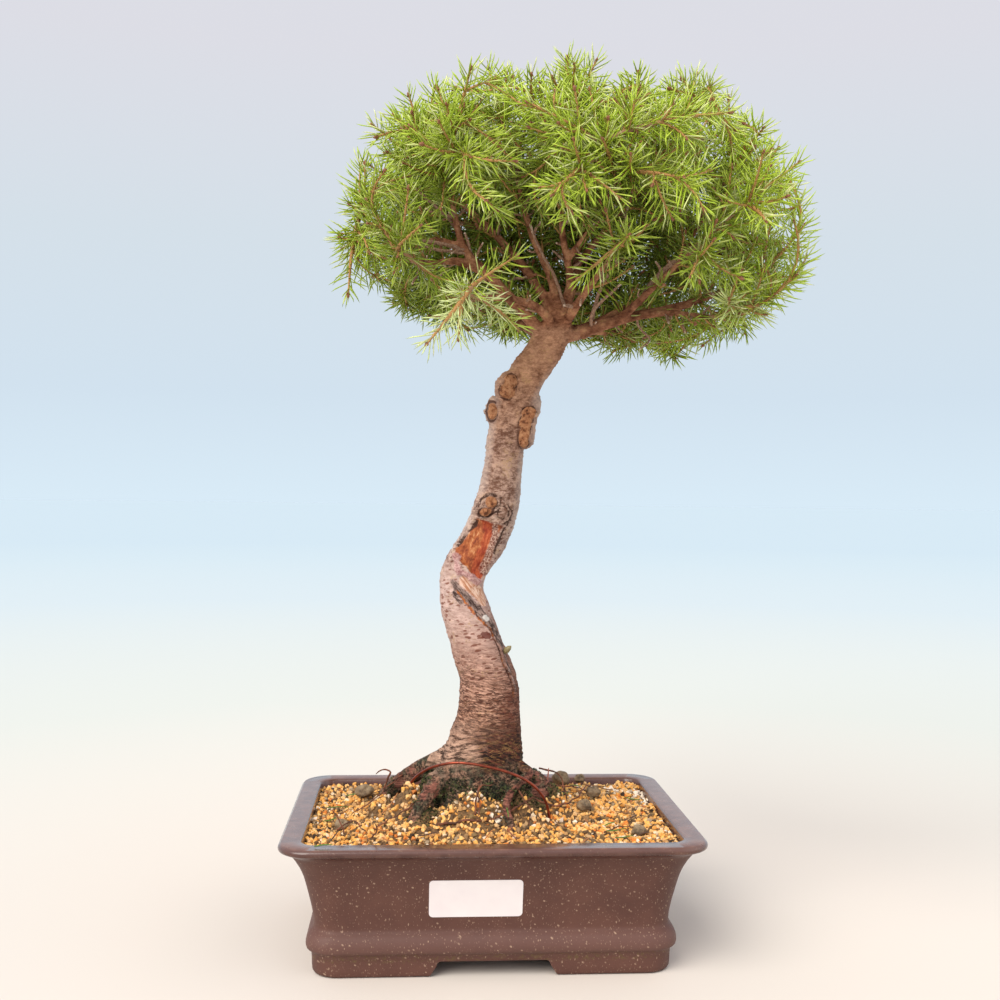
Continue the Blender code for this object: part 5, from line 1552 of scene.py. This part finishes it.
def shoot_tips():
    """Tips of the outer shoots: those seen, then an even spread over the dome wherever these leave room."""
    chance = random.Random(CROWN_SEED)
    seen = [Vector(tip) for tip in SEEN_TIPS]
    tips = list(seen)
    for direction in even_spread(SHELL_POINTS, SHELL_LOWEST, 0):
        reach = crown_reach(direction)
        tip = CROWN_HEART + direction * reach * (1 + chance.uniform(-SHELL_SPREAD, SHELL_SPREAD))
        if all((tip - other).length > SEEN_ROOM for other in seen):
            tips.append(tip)
    return tips


def bent(start, pull, end, count):
    """A quadratic curve from start to end, leaving start towards pull."""
    steps = [index / (count - 1) for index in range(count)]
    return [start * (1 - t) ** 2 + pull * 2 * t * (1 - t) + end * t ** 2 for t in steps]


def clear_twig(start, heading, tip, owner):
    """A twig to a tip, bent further each time it would come near another spray or limb."""
    length = (tip - start).length
    best, best_gap = None, -math.inf
    for attempt in range(TWIG_ATTEMPTS):
        sway = Vector([chance.uniform(-1, 1) for _ in range(3)]) * length * TWIG_SWAY * attempt
        points = bent(start, start + heading * length * 0.45 + sway, tip, TWIG_POINTS)
        away = points[0].lerp(points[1], 0.35)
        pieces = [(away, points[1]), *zip(points[1:], points[2:])]
        gap = min(room.clearance(*piece, TWIG_RADIUS, owner) for piece in pieces)
        if gap > best_gap:
            best, best_gap = points, gap
        if gap > TWIG_CLEARANCE:
            break
    return best


def length_of(points):
    return sum((b - a).length for a, b in zip(points, points[1:]))


def point_at(points, distance):
    """Place and direction at a distance along a route."""
    for a, b in zip(points, points[1:]):
        piece = (b - a).length
        if distance <= piece:
            return a.lerp(b, distance / piece), (b - a).normalized()
        distance -= piece
    return points[-1], (points[-1] - points[-2]).normalized()


def stems_of(points, thick, thin, leafy, young):
    """One stem's stations, each with its radius, its share of needles, its youth and its light."""
    route = smooth_route(points, STATIONS)
    total = length_of(route)
    full, bare = LEAFY_STEM
    stations = []
    gone = 0
    for index, point in enumerate(route):
        gone += (point - route[index - 1]).length if index else 0
        left = total - gone
        needles = leafy if left < full else leafy * (1 - (left - full) / (bare - full))
        youth = young if left < YOUNG_STEM else young * OLDER_YOUTH
        light = outline_share(point) * 0.8 + (point.z - CROWN_HEART.z) / CROWN_UP * 0.3
        light += (point.x - CROWN_HEART.x) / CROWN_ACROSS * 0.1 + noise.noise(points[-1] / 7) * 0.22
        light += max(0, min(1, -point.y / 25 - 1.2)) * 0.6 * (point.z < LOW_FRONT_TOP)
        stations.append((point, thin + (thick - thin) * left / total, needles, youth, light))
    return stations


def bares_limbs(point):
    """Whether a shoot here would stand before the bare limbs that the crown shows from the front."""
    seen = EYE + (point - EYE) * (EYE.y / (EYE.y - point.y))
    window_up = WINDOW_UP[0] < seen.z < WINDOW_UP[1]
    return point.y < WINDOW_FRONT and window_up and WINDOW_ACROSS[0] < seen.x < WINDOW_ACROSS[1]


def side_shoots(route, spot, growth, number, leafy):
    """Shoots that part from a stem at one spot, bending up and outwards but staying in the crown."""
    root, forward = point_at(route, spot)
    side = forward.orthogonal().normalized()
    first = chance.uniform(0, math.tau)
    made = []
    for index in range(number):
        turn = first + index * math.tau / number + chance.uniform(-0.4, 0.4)
        out = Matrix.Rotation(turn, 3, forward) @ side
        lean = chance.uniform(*SHOOT_LEAN)
        away = (root - CROWN_HEART).normalized()
        aim = forward * math.cos(lean) + out * math.sin(lean) + away * 0.25 + Vector((0, 0, 0.12))
        aim.normalize()
        length = chance.uniform(*growth)
        while outline_share(root + aim * length) > CROWN_LIMIT and length > LEAST_SHOOT:
            length *= 0.85
        tip = root + aim * length + Vector((0, 0, length * 0.08))
        if bares_limbs(tip) and chance.random() < WINDOW_SHARE:
            continue
        points = bent(root, root + aim * length * 0.5 - Vector((0, 0, length * 0.1)), tip, TWIG_POINTS)
        made.append(stems_of(points, *SHOOT_WOOD, leafy, 1.0))
    return made


room = Room()
limbs = {}
for name, (thick, thin, route) in LIMBS.items():
    limbs[name] = smooth_route(route, LIMB_POINTS)
    room.add(limbs[name], tapered(thick, thin, LIMB_POINTS), name)
wanted = {name: [] for name in LIMBS}
for tip in shoot_tips():
    wanted[min(limbs, key=lambda name: (limbs[name][-1] - tip).length)].append(tip)
chance = random.Random(CROWN_SEED)
twigs = {}
for name, tips in wanted.items():
    points = limbs[name]
    heading = (points[-1] - points[-2]).normalized()
    foot = points[-1] + heading * SPRAY_GAP
    tips.sort(key=lambda tip: -(tip - foot).length)
    main = clear_twig(foot, heading, tips[0], name)
    twigs[name] = [main]
    for rank, tip in enumerate(tips[1:]):
        along = BRANCH_FIRST + (BRANCH_LAST - BRANCH_FIRST) * rank / max(len(tips) - 2, 1)
        along = (BRANCH_FIRST + BRANCH_LAST - along) * (TWIG_POINTS - 1)
        step = int(along)
        start = main[step].lerp(main[step + 1], along - step)
        forward = (main[step + 1] - main[step]).normalized()
        parting = forward.lerp((tip - start).normalized(), TWIG_PARTING).normalized()
        twigs[name].append(clear_twig(start, parting, tip, name))
    for twig in twigs[name]:
        room.add(twig, tapered(TWIG_RADIUS, SHOOT_RADIUS, TWIG_POINTS), name)

needle = Finish("spruce_needle", roughness=0.45, specular_ior_level=0.35)
tint = needle.attribute("tint")
light = needle.attribute("light")
shade = needle.mix(tint, (0.10, 0.15, 0.008), (0.23, 0.285, 0.022))
sunny = needle.mix(tint, (0.41, 0.56, 0.034), (0.60, 0.71, 0.09))
sunny = needle.mix(tint.between(0.65, 1.0), sunny, (0.78, 0.80, 0.38))
colour = needle.mix(light.between(0.36, 0.86), shade, sunny)
colour = needle.mix(light.between(1.0, 1.35) * 0.6, colour, (0.80, 0.84, 0.50))
colour = needle.mix((tint - light * 0.25).between(0.88, 0.9), colour, (0.33, 0.22, 0.06))
needle_finish = needle.wear(colour, None, None, 0)
twig_bark = Finish("twig_bark", roughness=0.7)
spot = twig_bark.place()
ridge = twig_bark.noise(spot, 0.8, 2, 0.6)
old_twig = twig_bark.mix(ridge, (0.22, 0.105, 0.06), (0.44, 0.27, 0.18))
new_twig = twig_bark.mix(ridge, (0.34, 0.14, 0.04), (0.58, 0.32, 0.11))
twig_colour = twig_bark.mix(twig_bark.attribute("young"), old_twig, new_twig)
twig_finish = twig_bark.wear(twig_colour, None, ridge, 0.4)
bud_finish = two_tone(
    "bud_scales", (0.17, 0.05, 0.025), (0.42, 0.17, 0.075), patch=(0.7, 3, 0.6), span=(0, 1), depth=0.4,
    roughness=0.5,
)

bm = bmesh.new()
rings = []
for share, width in NEEDLE_RINGS:
    middle = Vector((0, NEEDLE_LENGTH * NEEDLE_BEND * share ** 2, NEEDLE_LENGTH * share))
    turns = [side * math.tau / 3 for side in range(3)]
    edges = [Vector((math.cos(turn), math.sin(turn), 0)) * NEEDLE_RADIUS * width for turn in turns]
    rings.append([bm.verts.new((middle + edge) * MM) for edge in edges])
point = bm.verts.new(Vector((0, NEEDLE_LENGTH * NEEDLE_BEND, NEEDLE_LENGTH)) * MM)
for side in range(3):
    bm.faces.new((rings[0][side - 1], rings[0][side], rings[1][side], rings[1][side - 1]))
    bm.faces.new((rings[1][side - 1], rings[1][side], point))
bm.faces.new(rings[0])
bmesh.ops.recalc_face_normals(bm, faces=bm.faces)
needle_shape = bpy.data.objects.new("needle_shape", mesh_of(bm, "needle_shape"))
needle_shape.data.shade_smooth()
bm = bmesh.new()
for turn, lean, size in BUDS:
    aim = Matrix.Rotation(turn, 4, "Z") @ Matrix.Rotation(lean, 4, "X")
    aim @= Matrix.Translation((0, 0, size * 1.3 * MM)) @ Matrix.Diagonal((0.95, 0.95, 1.7, 1))
    bmesh.ops.create_icosphere(bm, subdivisions=1, radius=size * MM, matrix=aim)
bud_shape = bpy.data.objects.new("bud_shape", mesh_of(bm, "bud_shape"))

shoot = Modeller("leafy_shoots", Pitch="Float", Step="Float", Seed="Int")
given = shoot.given
line = shoot.node("GeometryNodeMeshToCurve", None, {"Mesh": shoot.geometry})
fine = shoot.node("GeometryNodeResampleCurve", {"mode": "LENGTH"}, {"Curve": line, "Length": given["Step"]})
circle = shoot.node("GeometryNodeCurvePrimitiveCircle", {"mode": "RADIUS"}, {"Resolution": 5, "Radius": 1.0})
girth = shoot.recall("girth") * shoot.random(0.88, 1.22, given["Seed"])
stem = shoot.node("GeometryNodeCurveToMesh", None, {
    "Curve": fine, "Profile Curve": circle, "Scale": girth, "Fill Caps": True,
})
stem = shoot.node("GeometryNodeSetShadeSmooth", None, {"Geometry": stem})
stem = shoot.finish(stem, twig_finish)
dense = shoot.node("GeometryNodeResampleCurve", {"mode": "LENGTH"}, {"Curve": line, "Length": given["Pitch"]})
tangent = shoot.node("GeometryNodeInputTangent")
order = shoot.node("GeometryNodeInputIndex")
travelled = shoot.node("GeometryNodeSplineParameter", None, None, "Length")
whole = shoot.node("GeometryNodeSplineLength", None, None, "Length")
left = whole - travelled
grows = shoot.random(0.0, 1.0, 21).math("LESS_THAN", shoot.recall("leafy"))
aligned = shoot.node("FunctionNodeAlignRotationToVector", {"axis": "Z"}, {"Vector": tangent})
spin = shoot.about((0, 0, 1), order * GOLDEN_ANGLE + shoot.random(-0.5, 0.5, 22))
lean = shoot.about((1, 0, 0), left.between(0, 8 * MM) * 0.5 + 0.6 + shoot.random(-0.15, 0.15, 23))
spun = shoot.turned(aligned, spin)
long = shoot.random(0.74, 1.06, 24) * (left.between(0, 6 * MM) * 0.25 + 0.75)
stretch = shoot.whole(1.0, 1.0, long)
leant = shoot.turned(spun, lean)
needles = shoot.copies(dense, shoot.shape(needle_shape), leant, stretch, {"Selection": grows})
needles = shoot.store(needles, "tint", shoot.random(0.0, 1.0, 25), "INSTANCE")
ends = shoot.node("GeometryNodeCurveEndpointSelection", None, {"Start Size": 0, "End Size": 1})
buds = shoot.copies(line, shoot.shape(bud_shape), spun, shoot.random(0.75, 1.15, 26), {"Selection": ends})
shoot.close(stem, shoot.finish(needles, needle_finish), shoot.finish(buds, bud_finish))

growth = {}
for name, routes in twigs.items():
    stems = growth[name] = []
    for rank, route in enumerate(routes):
        points = list(route)
        if rank == 0:
            points[0] = limbs[name][-1].lerp(limbs[name][-2], 0.12)
        stems.append(stems_of(points, *TWIG_WOOD, 1.0, 1.0))
        total = length_of(points)
        spot = total - chance.uniform(*YEAR_GROWTH)
        while spot > total * BRANCH_FIRST:
            stems += side_shoots(points, spot, SIDE_GROWTH, chance.choice((2, 3, 3)), 1.0)
            spot -= chance.uniform(*YEAR_GROWTH) * 0.6
    total = length_of(limbs[name])
    for share in INNER_PLACES:
        spot = total * (share + chance.uniform(-0.07, 0.07))
        stems += side_shoots(limbs[name], spot, INNER_GROWTH, 1, 0.75)

tips = []
for share, number in FILL_LAYERS:
    for direction in even_spread(number, FILL_LOWEST, share):
        reach = share * chance.uniform(0.94, 1.05) - 0.07 * max(direction.z, 0)
        tips.append(CROWN_HEART + direction * crown_reach(direction) * reach)
tips += [Vector([chance.uniform(*span) for span in BACKDROP]) for _ in range(BACKDROP_POINTS)]
joints = {name: [] for name in twigs}
for name, routes in twigs.items():
    for route in (limbs[name], *routes):
        total = length_of(route)
        joints[name] += [point_at(route, total * step / JOINT_STEPS) for step in range(1, JOINT_STEPS)]
ends = [stem[-1][0] for stems in growth.values() for stem in stems]
for tip in tips:
    low_back = tip.y > BACKDROP[1][0] and tip.z < BACKDROP[2][1]
    crowded = min((tip - end).length for end in ends) < (BACKDROP_ROOM if low_back else FILL_ROOM)
    if crowded or bares_limbs(tip) or outline_share(tip) > CROWN_LIMIT:
        continue
    best = None
    for name, spots in joints.items():
        for root, forward in spots:
            way = tip - root
            ahead = way.normalized().dot(forward)
            if FILL_LEAST < way.length < FILL_REACH and ahead > 0.1:
                cost = way.length - 12 * ahead
                if best is None or cost < best[0]:
                    best = (cost, name, root, forward)
    if best:
        _, name, root, forward = best
        length = (tip - root).length
        sag = Vector((0, 0, length * UPTURN * max(0, tip.z - CROWN_HEART.z) / CROWN_UP))
        points = bent(root, root + forward * length * 0.3 + (tip - root) * 0.3 - sag, tip, TWIG_POINTS)
        growth[name].append(stems_of(points, 0.5 + length * 0.012, 0.5, 1.0, 1.0))
        joints[name] += [point_at(points, length * share) for share in (0.45, 0.7)]
        ends.append(tip)

for number, (name, stems) in enumerate(growth.items()):
    stations = [station for stem in stems for station in stem]
    mesh = bpy.data.meshes.new(f"needles_{name}")
    edges = [(index, index + 1) for index in range(len(stations) - 1) if (index + 1) % STATIONS]
    mesh.from_pydata([station[0] * MM for station in stations], edges, [])
    for column, (field, unit) in enumerate((("girth", MM), ("leafy", 1), ("young", 1), ("light", 1)), 1):
        keep(mesh, field, numpy.array([station[column] for station in stations]) * unit)
    spray = put(f"needles_{name}", mesh)
    shoot.run(spray, Pitch=NEEDLE_PITCH * MM, Step=STEM_STEP * MM, Seed=number)
    settle(spray, "spruce_needles", f"spray_{name}")
